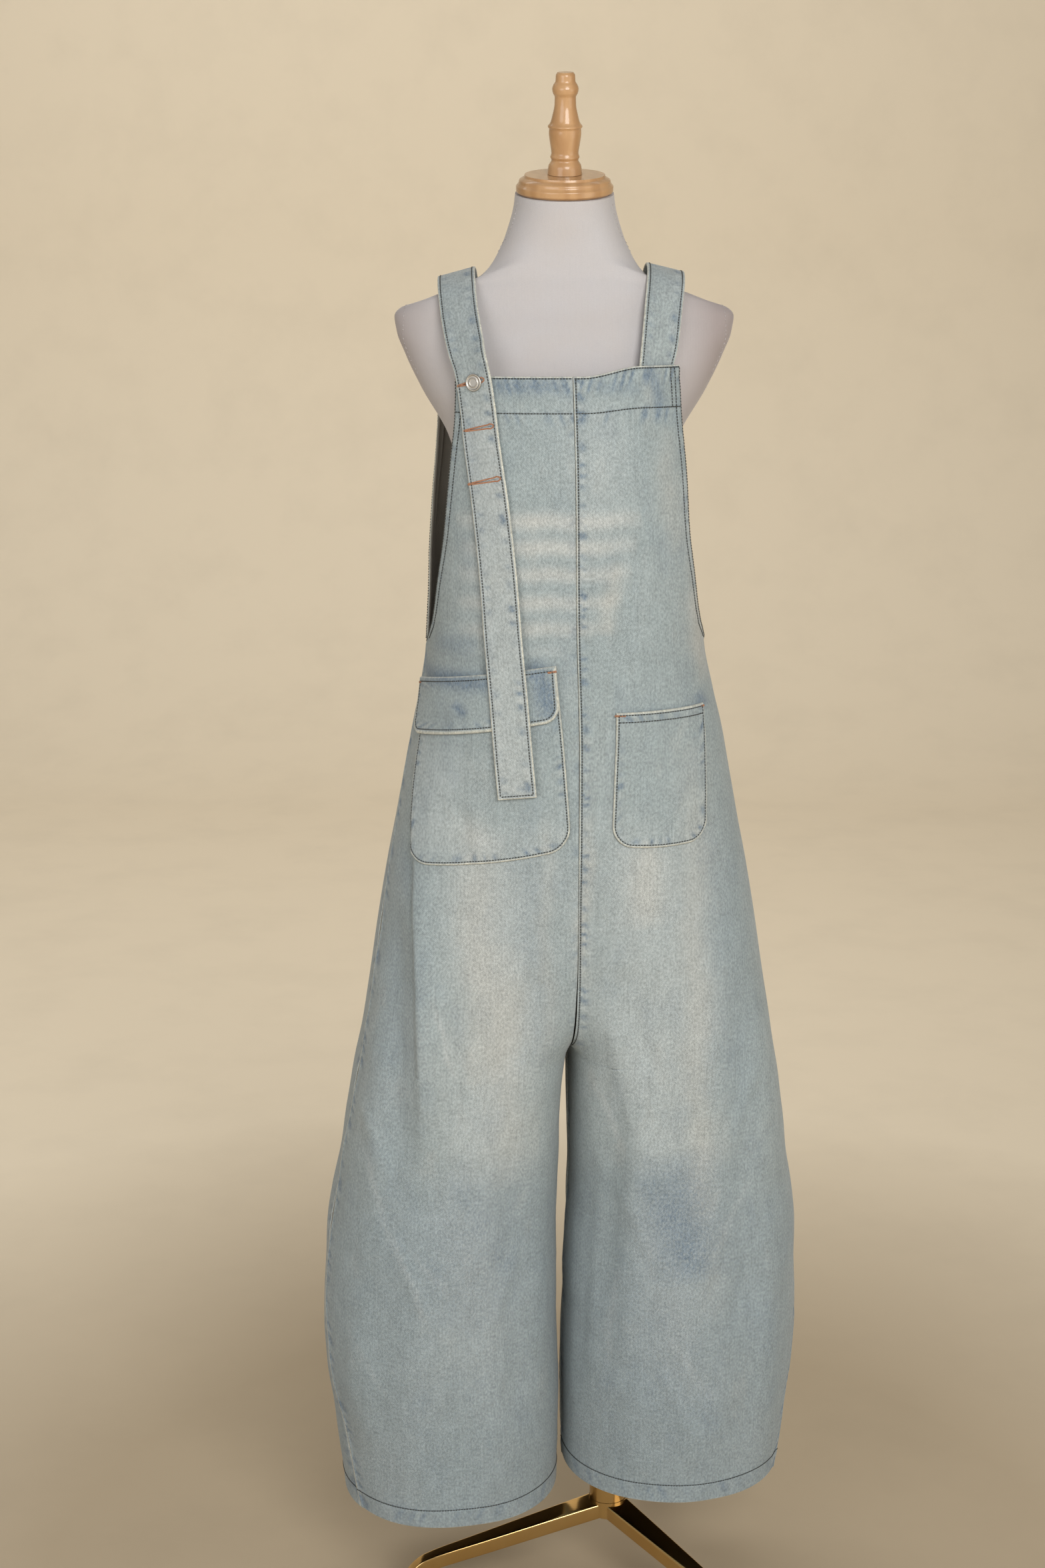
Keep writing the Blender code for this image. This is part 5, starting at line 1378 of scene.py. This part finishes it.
class Shader:
    """A material's node tree, with short ways to add nodes and join them."""

    def __init__(self, name):
        self.material = bpy.data.materials.new(name)
        self.material.use_nodes = True
        self.nodes = self.material.node_tree.nodes
        self.links = self.material.node_tree.links
        self.surface = self.nodes["Principled BSDF"]

    def node(self, kind, settings=(), inputs=()):
        """A node with its settings, and its inputs set to values or joined to sockets."""
        made = self.nodes.new(kind)
        for name, value in dict(settings).items():
            setattr(made, name, value)
        for name, value in dict(inputs).items():
            self.give(made.inputs[name], value)
        return made

    def give(self, socket, value):
        """A socket's value, or what is joined to it."""
        if isinstance(value, bpy.types.NodeSocket):
            self.links.new(value, socket)
        else:
            socket.default_value = value

    def place(self):
        """The object's own coordinates."""
        return self.node("ShaderNodeTexCoord").outputs["Object"]

    def mix(self, share, first, second, blend="MIX"):
        """Two colours mixed, each a socket or three numbers."""
        settings = {"data_type": "RGBA", "blend_type": blend}
        first, second = (
            value if isinstance(value, bpy.types.NodeSocket) else (*value, 1.0)
            for value in (first, second)
        )
        return self.node("ShaderNodeMix", settings, {0: share, 6: first, 7: second}).outputs[2]

    def math(self, operation, first, second):
        """Arithmetic on two values."""
        return self.node("ShaderNodeMath", {"operation": operation}, {0: first, 1: second}).outputs[0]

    def total(self, *values):
        """The sum of several values."""
        made = values[0]
        for value in values[1:]:
            made = self.math("ADD", made, value)
        return made

    def times(self, first, second):
        """The product of two values."""
        return self.math("MULTIPLY", first, second)

    def between(self, value, low, high, to_low=0.0, to_high=1.0):
        """A value's range carried to another range, and held inside it."""
        inputs = {"Value": value, "From Min": low, "From Max": high, "To Min": to_low, "To Max": to_high}
        return self.node("ShaderNodeMapRange", {"clamp": True}, inputs).outputs[0]

    def shaded(self, colour, tone):
        """A colour made lighter or darker by a value."""
        grey = self.node("ShaderNodeCombineXYZ", (), {"X": tone, "Y": tone, "Z": tone}).outputs[0]
        return self.mix(1.0, colour, grey, "MULTIPLY")

    def noise(self, vector, scale, detail=2.0, roughness=0.5):
        """Cloudy noise between 0 and 1 at one scale, or stretched to three."""
        if isinstance(scale, tuple):
            vector, scale = self.stretched(vector, scale), 1.0
        inputs = {"Vector": vector, "Scale": scale, "Detail": detail, "Roughness": roughness}
        return self.node("ShaderNodeTexNoise", (), inputs).outputs["Fac"]

    def bands(self, vector, scale, distortion, detail=2.0, detail_scale=1.0):
        """Wavy bands across X, between 0 and 1."""
        inputs = {"Vector": vector, "Scale": scale, "Distortion": distortion, "Detail": detail}
        inputs["Detail Scale"] = detail_scale
        settings = {"wave_type": "BANDS", "bands_direction": "X"}
        return self.node("ShaderNodeTexWave", settings, inputs).outputs["Fac"]

    def twill(self, flat, settings, detail_scale):
        """The weave's slanting lines: bands at its period, turned to its slope."""
        slant = self.stretched(flat, (1.0, 1.0, 1.0), (0.0, 0.0, settings.twill_slope))
        return self.bands(slant, 2 * math.pi / (20 * settings.twill_period), 1.6, 2.0, detail_scale)

    def stretched(self, vector, scale, rotation=(0.0, 0.0, 0.0)):
        """A pattern's coordinates turned and scaled."""
        inputs = {"Vector": vector, "Rotation": rotation, "Scale": scale}
        return self.node("ShaderNodeMapping", (), inputs).outputs[0]

    def bump(self, height, distance, strength=1.0):
        """Low relief, in millimetres, on the shader's normal."""
        inputs = {"Height": height, "Distance": distance * MM, "Strength": strength}
        made = self.node("ShaderNodeBump", (), inputs)
        self.links.new(made.outputs[0], self.surface.inputs["Normal"])

    def finished(self, **values):
        """The material, with the shader's own sockets set by name, spaces as underscores."""
        for name, value in values.items():
            self.give(self.surface.inputs[name.replace("_", " ")], value)
        return self.material


def tinted(colour, *shares):
    """A colour's channels times one share, or times one each."""
    return tuple(value * share for value, share in zip(colour, shares * (3 // len(shares))))


def denim(settings):
    """Washed denim's right side: twill lines, slubs, clouds and streaks of the wash, worn edges.

    The flat UV map is in metres. Twill is a wave of bands turned to the weave's slope; threads and
    slubs are noise stretched along the warp; the wash colour's red, green, blue and alpha are how
    pale, how blue, how beige and how worn the cloth is. Some of the blue is painted shade.
    """
    shader = Shader("washed_denim_face")
    flat = shader.node("ShaderNodeUVMap", {"uv_map": "flat_cloth"}).outputs[0]
    wash = shader.node("ShaderNodeAttribute", {"attribute_name": "wash"})
    parts = shader.node("ShaderNodeSeparateColor", (), {"Color": wash.outputs["Color"]})
    pale, blue, beige = parts.outputs[:3]
    twill = shader.twill(flat, settings, 1.4)
    yarn, pepper, mottle, slub, clouds, broad, ragged = (
        shader.noise(flat, (across, along, 1.0), detail, roughness)
        for across, along, detail, roughness in DENIM_NOISE
    )
    speckle = shader.noise(flat, 210.0, 3.0, 0.7)

    broad = shader.between(broad, 0.35, 0.70, -0.12, 0.18)
    speckle = shader.between(speckle, 0.30, 0.72, -0.10, 0.12)
    pale = shader.between(shader.total(pale, broad, speckle), 0.0, 1.0)
    blue = shader.total(blue, shader.between(clouds, 0.52, 0.78, 0.0, 0.30))
    blue = shader.times(blue, shader.between(ragged, 0.34, 0.66, 0.45, 1.45))
    beige = shader.total(beige, shader.between(clouds, 0.42, 0.24, 0.0, 0.25))
    edge = shader.times(wash.outputs["Alpha"], shader.between(slub, 0.25, 0.62, 0.72, 1.0))
    colour = shader.mix(pale, settings.mid, settings.pale)
    for share, most, tint in (
        (beige, 1.4, settings.beige), (blue, 1.25, settings.blue), (edge, 1.0, settings.cream)
    ):
        colour = shader.mix(shader.between(share, 0.0, most), colour, tint)
    tones = (shader.between(value, low, high, *tone) for value, low, high, tone in (
        (mottle, 0.34, 0.66, (0.92, 1.08)),
        (twill, 0.0, 1.0, (-0.10, 0.08)),
        (yarn, 0.28, 0.72, (-0.10, 0.10)),
        (slub, 0.28, 0.72, (-0.08, 0.08)),
        (pepper, 0.36, 0.64, (-0.16, 0.16)),
    ))
    colour = shader.shaded(colour, shader.total(*tones))
    raised = (shader.times(*part) for part in ((twill, 0.6), (yarn, 0.8), (slub, 0.5)))
    shader.bump(shader.total(*raised), 0.16, 0.9)
    return shader.finished(
        Base_Color=colour, Roughness=0.88, Sheen_Weight=0.16, Sheen_Roughness=0.5, Specular_IOR_Level=0.25
    )


def denim_reverse(settings):
    """Washed denim's wrong side: the weft's paler yarns with the twill running the other way, their
    grey-beige darkened as painted shade for the garment's inside.
    """
    shader = Shader("washed_denim_reverse")
    flat = shader.node("ShaderNodeUVMap", {"uv_map": "flat_cloth"}).outputs[0]
    twill = shader.twill(flat, settings, 1.0)
    clouds = shader.noise(flat, (40.0, 16.0, 1.0), 4.0, 0.6)
    yarn = shader.noise(flat, (700.0, 1400.0, 1.0), 2.0, 0.6)
    base = settings.reverse
    colour = shader.mix(shader.between(clouds, 0.3, 0.7), tinted(base, 0.78), base)
    colour = shader.mix(shader.between(twill, 0.0, 1.0, 0.0, 0.35), colour, tinted(base, 0.70))
    shader.bump(shader.total(twill, yarn), 0.14, 0.8)
    return shader.finished(Base_Color=colour, Roughness=0.92, Sheen_Weight=0.12, Specular_IOR_Level=0.2)


def thread(name, colour, light):
    """Sewing thread: plied, so its tone changes quickly along it, and slightly glossy."""
    shader = Shader(name)
    place = shader.place()
    ply = shader.noise(place, 900.0, 2.0, 0.6)
    worn = shader.noise(place, 45.0, 2.0, 0.5)
    tone = shader.mix(shader.between(ply, 0.35, 0.65), colour, light)
    tone = shader.mix(shader.between(worn, 0.45, 0.75, 0.0, 0.45), tone, light)
    shader.bump(ply, 0.06, 0.6)
    return shader.finished(Base_Color=tone, Roughness=0.62)


def jersey(settings):
    """The form's cover: fine knitted ribs, a soft nap, faint yellowed and rubbed clouds, and painted shade
    at its sides.
    """
    shader = Shader("form_cover_jersey")
    place, base = shader.place(), settings.cover
    ribs = shader.bands(place, 260.0, 2.5, 2.0, 2.0)
    nap = shader.noise(place, 1100.0, 3.0, 0.7)
    clouds = shader.noise(place, 16.0, 4.0, 0.6)
    marks = shader.noise(place, (60.0, 60.0, 35.0), 5.0, 0.7)
    colour = base
    for value, low, high, most, tint in (
        (clouds, 0.35, 0.75, 0.8, (1.0, 0.955, 0.90)),
        (marks, 0.58, 0.80, 0.5, (0.86,)),
        (nap, 0.40, 0.70, 0.7, (0.90,)),
    ):
        colour = shader.mix(shader.between(value, low, high, 0.0, most), colour, tinted(base, *tint))
    # Painted shade: the cover is darkened and warmed about 0.1 to 0.17 m out from the middle, on the
    # shoulders and sides that turn from the light
    sideways = shader.node("ShaderNodeSeparateXYZ", (), {"Vector": place}).outputs["X"]
    sideways = shader.total(sideways, 0.015)
    outer = shader.between(shader.times(sideways, sideways), 0.0100, 0.0290)
    colour = shader.mix(outer, colour, tinted(base, 0.69, 0.62, 0.60))
    shader.bump(shader.total(ribs, nap), 0.09, 0.7)
    return shader.finished(
        Base_Color=colour, Roughness=0.86, Sheen_Weight=0.25, Sheen_Roughness=0.4, Specular_IOR_Level=0.3
    )


def lacquered_wood(settings):
    """Turned light wood under lacquer: bent growth lines, fine pores and a clear coat."""
    shader = Shader("tan_wood_lacquered")
    place, base = shader.place(), settings.wood
    grain = shader.stretched(place, (1.0, 1.0, 0.22), (0.2, 0.35, 0.0))
    grain = shader.bands(grain, 16.0, 7.0, 3.0, 2.0)
    pores = shader.noise(place, (900.0, 900.0, 120.0), 2.0, 0.6)
    dark = tinted(base, 0.74, 0.66, 0.56)
    colour = shader.mix(shader.between(grain, 0.15, 0.95, 0.0, 0.55), base, dark)
    colour = shader.mix(shader.between(pores, 0.60, 0.80, 0.0, 0.45), colour, dark)
    shader.bump(pores, 0.03, 0.4)
    return shader.finished(Base_Color=colour, Roughness=0.42, Coat_Weight=0.7, Coat_Roughness=0.14)


def polished_gold(settings):
    """Polished gold-coloured metal: an even tone, faint smears and hairline scratches."""
    shader = Shader("gold_metal_polished")
    place, base = shader.place(), settings.gold
    smears = shader.noise(place, 14.0, 4.0, 0.6)
    hair = shader.noise(place, (1400.0, 1400.0, 60.0), 2.0, 0.6)
    colour = shader.mix(shader.between(smears, 0.35, 0.75), base, tinted(base, 0.90, 0.84, 0.72))
    shader.bump(hair, 0.02, 0.25)
    rough = shader.between(smears, 0.30, 0.75, 0.10, 0.24)
    return shader.finished(Base_Color=colour, Metallic=1.0, Roughness=rough)


def silver(settings):
    """The button's nickel: a little darker where handling has dulled it."""
    shader = Shader("silver_metal_nickel")
    base = settings.nickel
    dull = shader.noise(shader.place(), 420.0, 3.0, 0.6)
    colour = shader.mix(shader.between(dull, 0.45, 0.85, 0.0, 0.35), base, tinted(base, 0.62))
    rough = shader.between(dull, 0.30, 0.75, 0.34, 0.44)
    return shader.finished(Base_Color=colour, Metallic=1.0, Roughness=rough)


def glide_rubber():
    """The leg glides' dark rubber, slightly dusty."""
    shader = Shader("glide_rubber_dusty")
    dust = shader.noise(shader.place(), 160.0, 3.0, 0.6)
    colour = shader.mix(shader.between(dust, 0.4, 0.8, 0.0, 0.5), (0.02, 0.02, 0.02), (0.10, 0.09, 0.08))
    shader.bump(dust, 0.05, 0.4)
    return shader.finished(Base_Color=colour, Roughness=0.78)


def studio_paint(settings):
    """Pale matt paint, a little deeper on the floor round the stand, with a faint cloudiness."""
    shader = Shader("studio_paint")
    place = shader.place()
    away = shader.node("ShaderNodeVectorMath", {"operation": "LENGTH"}, {0: place}).outputs["Value"]
    colour = shader.mix(shader.between(away, 0.6, 1.5), settings.floor, settings.paint)
    soiled = shader.between(shader.noise(place, 5.0, 4.0, 0.6), 0.45, 0.75, 1.0, 0.955)
    return shader.finished(Base_Color=shader.shaded(colour, soiled), Roughness=0.85)


# ---------------------------------------------------------------- settings


def colour_property(name, description, default):
    """A colour setting, in linear values."""
    return bpy.props.FloatVectorProperty(
        name=name, description=description, default=default, size=3, min=0.0, max=1.0, subtype="COLOR"
    )


def length_property(name, description, default):
    """A length setting, in metres."""
    return bpy.props.FloatProperty(
        name=name, description=description, default=default, min=0.0, precision=5, unit="LENGTH"
    )


def number_property(name, description, default, **more):
    """A plain number setting."""
    return bpy.props.FloatProperty(name=name, description=description, default=default, **more)


def power_property(name, description, default):
    """A light's power."""
    return number_property(name, description, default, min=0.0, unit="POWER")


class DungareesClothSettings(bpy.types.PropertyGroup):
    """Thickness, weave and colours of the denim."""

    thickness: length_property("Cloth", "Thickness of one layer of denim", 0.0016)
    turned_thickness: length_property("Turned cloth", "Thickness at hems and facings", 0.0030)
    twill_period: length_property("Twill spacing", "Distance between two lines of the twill", 0.00135)
    twill_slope: number_property(
        "Twill slope", "How far the twill lines lean from upright", math.radians(38.0), subtype="ANGLE"
    )
    mid: colour_property("Denim", "Colour of the washed denim", linear(148, 159, 161))
    pale: colour_property("Washed out", "Colour where the wash is strongest", linear(181, 187, 187))
    # Besides the puckers' hollows and unwashed patches, this colour is laid on as painted shade: on the
    # lower legs, beside the right leg's big fold and above the flap
    blue: colour_property("Unwashed", "Colour in the puckers' hollows", linear(108, 124, 139))
    beige: colour_property("Tint", "Colour of the beige streaks", linear(185, 183, 175))
    cream: colour_property("Worn edge", "Colour of rubbed edges", linear(208, 206, 191))
    # The wrong side's colour: its own grey-beige, darkened as painted shade for the inside of the garment,
    # where it shows
    reverse: colour_property("Wrong side", "Colour of the cloth's wrong side", linear(138, 134, 125))


class DungareesThreadSettings(bpy.types.PropertyGroup):
    """Sizes and colours of the sewing thread."""

    radius: length_property("Thread radius", "Radius of a stitch", 0.00060)
    pitch: length_property("Stitch pitch", "Distance from one stitch to the next", 0.0030)
    share: number_property(
        "Stitch share", "Part of the pitch that the thread fills", 0.88, min=0.1, max=1.0
    )
    dark: colour_property("Thread", "Colour of the running stitches", linear(42, 44, 42))
    light: colour_property("Thread highlight", "Lighter ply of the thread", linear(74, 76, 72))
    tack: colour_property("Tack thread", "Colour of buttonholes and bar tacks", linear(146, 98, 70))
    tack_light: colour_property("Tack highlight", "Lighter ply of the tacks", linear(176, 128, 98))


class DungareesFormSettings(bpy.types.PropertyGroup):
    """Colours of the dress form, its stand and the button."""

    cover: colour_property("Cover", "Colour of the jersey cover", linear(192, 189, 190))
    seam: colour_property("Cover seam", "Colour of the cover's stitches", linear(150, 140, 136))
    wood: colour_property("Wood", "Colour of the turned wood", linear(192, 150, 104))
    gold: colour_property("Gold metal", "Colour of the stand", linear(212, 180, 124))
    nickel: colour_property("Button", "Colour of the button", linear(196, 192, 184))


class DungareesStudioSettings(bpy.types.PropertyGroup):
    """Floor, wall and lights of the studio."""

    paint: colour_property("Paint", "Colour of the wall and the far floor", linear(228, 215, 192))
    floor: colour_property("Floor", "Colour of the floor round the stand", linear(179, 163, 138))
    key: power_property("Key light", "Power of the large soft light", 88.0)
    fill: power_property("Fill light", "Power of the weak light", 37.0)
    side: power_property("Side light", "Power of the low light", 11.0)
    wall: power_property("Wall light", "Power of the light on the wall", 78.0)
    ambient: number_property("Ambient", "Strength of the surroundings", 0.33, min=0.0)
    ambient_colour: colour_property("Ambient colour", "Colour of the surroundings", (1.0, 0.95, 0.89))


# ---------------------------------------------------------------- operators


class DUNGAREES_OT_panels(bpy.types.Operator):
    """Make the four main panels of the dungarees as washed denim"""

    bl_idname = "dungarees.panels"
    bl_label = "Panels"

    def execute(self, context):
        settings, sewing = context.scene.dungarees_cloth, context.scene.dungarees_thread
        materials = [denim(settings), denim_reverse(settings)]
        thread("thread_dark", sewing.dark, sewing.light)
        for side, face in PANELS:
            cloth = Cloth(side, face)
            made = panel(cloth, settings, materials)
            lines = [cloth.at(*cloth.line(*row), sewing.radius * STITCH_LIFT) for row in cloth.lines]
            running_stitches(f"{face}_{side}", lines, sewing)
        return {"FINISHED"}


class DUNGAREES_OT_pockets(bpy.types.Operator):
    """Make the two patch pockets and the flap, with their stitches and bar tacks"""

    bl_idname = "dungarees.pockets"
    bl_label = "Pockets"

    def execute(self, context):
        sewing = context.scene.dungarees_thread
        tack_finish = thread("thread_tack", sewing.tack, sewing.tack_light)
        materials = [bpy.data.materials[name] for name in ("washed_denim_face", "washed_denim_reverse")]
        surfaces = {side: Cloth(side, "front") for side in SIDES}
        for name, side in PATCH_SIDES.items():
            patch = Patch(name, surfaces[side])
            made = patch.made(materials)
            routes = [(patch.inset, "around"), (patch.inset, "top")]
            if name == "pocket_small":
                routes.append((SMALL_POCKET_HEM, "top"))
            lines = [patch.face(*patch.line(*route)) for route in routes]
            pieces = [running_stitches(name, lines, sewing)]
            bars = patch.bar_tacks()
            if bars:
                pieces.append(new_piece(f"tacks_{name}", *joined(bars), [tack_finish]))
        return {"FINISHED"}


class DUNGAREES_OT_straps(bpy.types.Operator):
    """Make the two straps, the long strap's buttonholes and the shank button"""

    bl_idname = "dungarees.straps"
    bl_label = "Straps and button"

    def execute(self, context):
        materials = [bpy.data.materials["washed_denim_face"]] * 2
        for name, route in strap_routes().items():
            band = Strap(route)
            made = band.made(name, materials)
            pieces = [running_stitches(name, band.sewn_lines(name), context.scene.dungarees_thread)]
            if name == "strap_long":
                pieces.extend(self.buttonholes(band))
                pieces.append(self.button(context.scene.dungarees_form))
        return {"FINISHED"}

    def buttonholes(self, band):
        """Close stitches round three keyhole slits, and near-black threads along the slits as painted
        shade in their gaps.

        A keyhole's outline is a squared oval, higher towards its eye and highest at it.
        """
        turn = np.linspace(0, 2 * math.pi, 96, endpoint=False)
        cosine, sine = math.cos(BUTTONHOLE_TILT), math.sin(BUTTONHOLE_TILT)
        rings, slits = [], []
        for place, off, length in BUTTONHOLES:
            half = length / 2
            middle = band.length_at_height(place)
            over = half * np.sign(np.cos(turn)) * np.abs(np.cos(turn)) ** 0.6
            height = 0.0008 + 0.0011 * ease(-half, half, over) + 0.0009 * bell(over - 0.8 * half, 0.002)
            up = height * np.sign(np.sin(turn)) * np.abs(np.sin(turn)) ** 0.5
            along, across = middle - up * cosine - over * sine, -(over * cosine - up * sine) + off
            points, facings = band.face(np.append(along, along[0]), np.append(across, across[0]))
            middles, ahead, out = spaced(points, facings, BUTTONHOLE_PITCH)
            rings.append(threads(middles, np.cross(ahead, out), out, *BUTTONHOLE_THREAD))
            line = np.linspace(0.92, -0.60, 30) * half
            slits.append(band.face(middle - line * sine, off - line * cosine))
        # Painted shade: a near-black thread stands for the dark gap of each slit
        dark = thread("buttonhole_slit", (0.012, 0.014, 0.018), (0.02, 0.022, 0.026))
        return [
            new_piece("buttonhole_stitches", *joined(rings), [bpy.data.materials["thread_tack"]]),
            sewn("buttonhole_slits", slits, SLIT_SHADE_PITCH, SLIT_SHADE_THREAD, dark),
        ]

    def button(self, settings):
        """The shank button: a turned head with a rim and a ring, on a shank that reaches the bib."""
        row = front_row(*BUTTON_PLACE, SEAM_GAP)
        foot, out = row[:3], row[3:]
        across = unit(np.cross((0.0, 0.0, 1.0), out))
        turned = np.stack((across, np.cross(out, across), out))
        rows = np.array(LONG_STRAP_HANG)[::-1]
        on_strap = np.interp(BUTTON_PLACE[1], rows[:, 1], rows[:, 2]) + STRAP_CLOTH / 2 - SEAM_GAP
        head = finer(np.array(BUTTON_HEAD) + (0.0, on_strap), BUTTON_STEPS)
        loops = turned_loops(((BUTTON_SHANK_RADIUS, 0.0), *head), TURNED_SIDES)
        made = new_piece("button_turned", *stacked(loops @ turned + foot), [silver(settings)])
        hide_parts("shank_button")
        return made


class DUNGAREES_OT_form(bpy.types.Operator):
    """Make the dress form's padded torso and the seams of its cover"""

    bl_idname = "dungarees.form"
    bl_label = "Dress form"

    def execute(self, context):
        settings = context.scene.dungarees_form
        ring = np.linspace(0, len(FORM_RINGS) - 1, (len(FORM_RINGS) - 1) * FORM_STEPS + 1)
        angle = np.linspace(0, 2 * math.pi, FORM_SIDES, endpoint=False)
        body = stacked(form_surface(ring[:, None], angle))
        made = new_piece("form_padded_torso", *body, [jersey(settings)])
        made.data.set_sharp_from_angle(angle=FORM_SHARP_ANGLE)
        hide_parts("form_torso")
        lines = []
        for seam in (ARM_PLATE_SEAM, NECK_SEAM):
            x, z = finer(seam, COVER_SEAM_STEPS).T
            lines.extend(form_front(x * way, z) for way in (1.0, -1.0))
        finish = thread("thread_cover", settings.seam, settings.cover)
        seams = sewn("form_cover_seams", lines, COVER_PITCH, COVER_THREAD, finish)
        return {"FINISHED"}


class DUNGAREES_OT_wood(bpy.types.Operator):
    """Make the turned wooden neck cap and its finial"""

    bl_idname = "dungarees.wood"
    bl_label = "Neck cap and finial"

    def execute(self, context):
        finish = lacquered_wood(context.scene.dungarees_form)
        for name, profile, rise, node in (
            ("cap_turned", CAP_PROFILE, 0.0, "neck_cap"),
            ("finial_turned", FINIAL_PROFILE, CAP_PROFILE[-1][1] + SEAM_GAP, "neck_finial"),
        ):
            loops = turned_loops(rounded_profile(profile, TURNED_STEPS), TURNED_SIDES) + (0.0, 0.0, rise)
            made = new_piece(name, *stacked(tilted(loops, CAP_FOOT, CAP_TILT)), [finish])
            made.data.set_sharp_from_angle(angle=SHARP_ANGLE)
            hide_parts(node)
        return {"FINISHED"}


class DUNGAREES_OT_stand(bpy.types.Operator):
    """Make the stand's column and its three-legged base, and finish the glides"""

    bl_idname = "dungarees.stand"
    bl_label = "Stand"

    def execute(self, context):
        finish = polished_gold(context.scene.dungarees_form)
        foot, head = HUB_PROFILE[-1][1] + SEAM_GAP, FORM_RINGS[0][0] - SEAM_GAP
        column, hub = (
            stacked(turned_loops(profile, COLUMN_SIDES) + np.array((*COLUMN_PLACE, 0.0)))
            for profile in (((COLUMN_RADIUS, foot), (COLUMN_RADIUS, head)), HUB_PROFILE)
        )
        base = joined([hub, *(stacked(leg_loops(math.radians(angle))) for angle in LEG_ANGLES)])
        for name, mesh, node in (
            ("column_polished", column, "stand_column"),
            ("base_polished", base, "stand_base"),
        ):
            made = new_piece(name, *mesh, [finish])
            made.data.set_sharp_from_angle(angle=SHARP_ANGLE)
            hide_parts(node)
        rubber = glide_rubber()
        for number in range(1, len(LEG_ANGLES) + 1):
            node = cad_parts[f"leg_glide_{number}"]
            node.data.materials.clear()
            node.data.materials.append(rubber)
        return {"FINISHED"}


class DUNGAREES_OT_studio(bpy.types.Operator):
    """Make the swept floor and wall, the soft lights, the surroundings and the camera"""

    bl_idname = "dungarees.studio"
    bl_label = "Studio"

    def execute(self, context):
        settings = context.scene.dungarees_studio
        self.sweep(settings)
        self.lights(context, settings)
        world = bpy.data.worlds.new("studio_surroundings")
        world.use_nodes = True
        surround = world.node_tree.nodes["Background"]
        surround.inputs["Color"].default_value = (*settings.ambient_colour, 1.0)
        surround.inputs["Strength"].default_value = settings.ambient
        context.scene.world = world
        context.scene.view_settings.view_transform = "Standard"
        camera = bpy.data.cameras.new("camera")
        camera.lens = CAMERA_LENS
        made = bpy.data.objects.new("camera", camera)
        made.location = CAMERA_PLACE
        made.rotation_euler = (math.pi / 2 - CAMERA_DOWN, 0.0, 0.0)
        context.scene.collection.objects.link(made)
        context.scene.camera = made
        return {"FINISHED"}

    def sweep(self, settings):
        """The floor, a quarter circle and the wall, as one profile carried sideways."""
        turn = np.linspace(0, math.pi / 2, SWEEP_STEPS)
        round_y = WALL_PLACE - WALL_SWEEP + WALL_SWEEP * np.sin(turn)
        y = np.concatenate(((FLOOR_FRONT,), round_y, (WALL_PLACE,)))
        z = np.concatenate(((0.0,), WALL_SWEEP * (1 - np.cos(turn)), (WALL_TOP,)))
        x, y = np.meshgrid((-FLOOR_HALF_WIDTH, FLOOR_HALF_WIDTH), y)
        points = np.stack((x, y, np.broadcast_to(z[:, None], x.shape)), axis=-1)
        index = np.arange(x.size).reshape(-1, 2)
        faces = np.stack((index[:-1, 0], index[:-1, 1], index[1:, 1], index[1:, 0]), axis=-1)
        made = new_object("studio_sweep", points.reshape(-1, 3), [faces], [studio_paint(settings)])

    def lights(self, context, settings):
        """Soft discs of light, each turned to what it is aimed at."""
        for name, place, target, size, colour in LIGHTS:
            data = bpy.data.lights.new(f"{name}_light", "AREA")
            data.shape = "DISK"
            data.size = size
            data.energy = getattr(settings, name)
            data.color = colour
            made = bpy.data.objects.new(f"{name}_light", data)
            x, y, z = np.array(target) - np.array(place)
            made.rotation_euler = (math.atan2(math.hypot(x, y), -z), 0.0, math.atan2(y, x) - math.pi / 2)
            made.location = place
            made.visible_camera = False
            context.scene.collection.objects.link(made)


OPERATORS = (
    DUNGAREES_OT_studio,
    DUNGAREES_OT_panels,
    DUNGAREES_OT_pockets,
    DUNGAREES_OT_straps,
    DUNGAREES_OT_form,
    DUNGAREES_OT_wood,
    DUNGAREES_OT_stand,
)
SETTINGS = {
    "dungarees_cloth": DungareesClothSettings,
    "dungarees_thread": DungareesThreadSettings,
    "dungarees_form": DungareesFormSettings,
    "dungarees_studio": DungareesStudioSettings,
}


class DUNGAREES_PT_sidebar(bpy.types.Panel):
    """The dungarees' settings and operators"""

    bl_label = "Dungarees"
    bl_idname = "DUNGAREES_PT_sidebar"
    bl_space_type = "VIEW_3D"
    bl_region_type = "UI"
    bl_category = "Dungarees"

    def draw(self, context):
        for name, kind in SETTINGS.items():
            box = self.layout.box()
            box.label(text=kind.__doc__.rstrip("."))
            for setting in kind.__annotations__:
                box.prop(getattr(context.scene, name), setting)
        for operator in OPERATORS:
            self.layout.operator(operator.bl_idname)


def register():
    for kind in (*SETTINGS.values(), *OPERATORS, DUNGAREES_PT_sidebar):
        bpy.utils.register_class(kind)
    for name, kind in SETTINGS.items():
        setattr(bpy.types.Scene, name, bpy.props.PointerProperty(type=kind))


def unregister():
    for name in SETTINGS:
        delattr(bpy.types.Scene, name)
    for kind in reversed((*SETTINGS.values(), *OPERATORS, DUNGAREES_PT_sidebar)):
        bpy.utils.unregister_class(kind)


def main():
    register()
    bpy.ops.dungarees.studio()
    bpy.ops.dungarees.panels()
    bpy.ops.dungarees.pockets()
    bpy.ops.dungarees.straps()
    bpy.ops.dungarees.form()
    bpy.ops.dungarees.wood()
    bpy.ops.dungarees.stand()


if __name__ == "__main__":
    main()
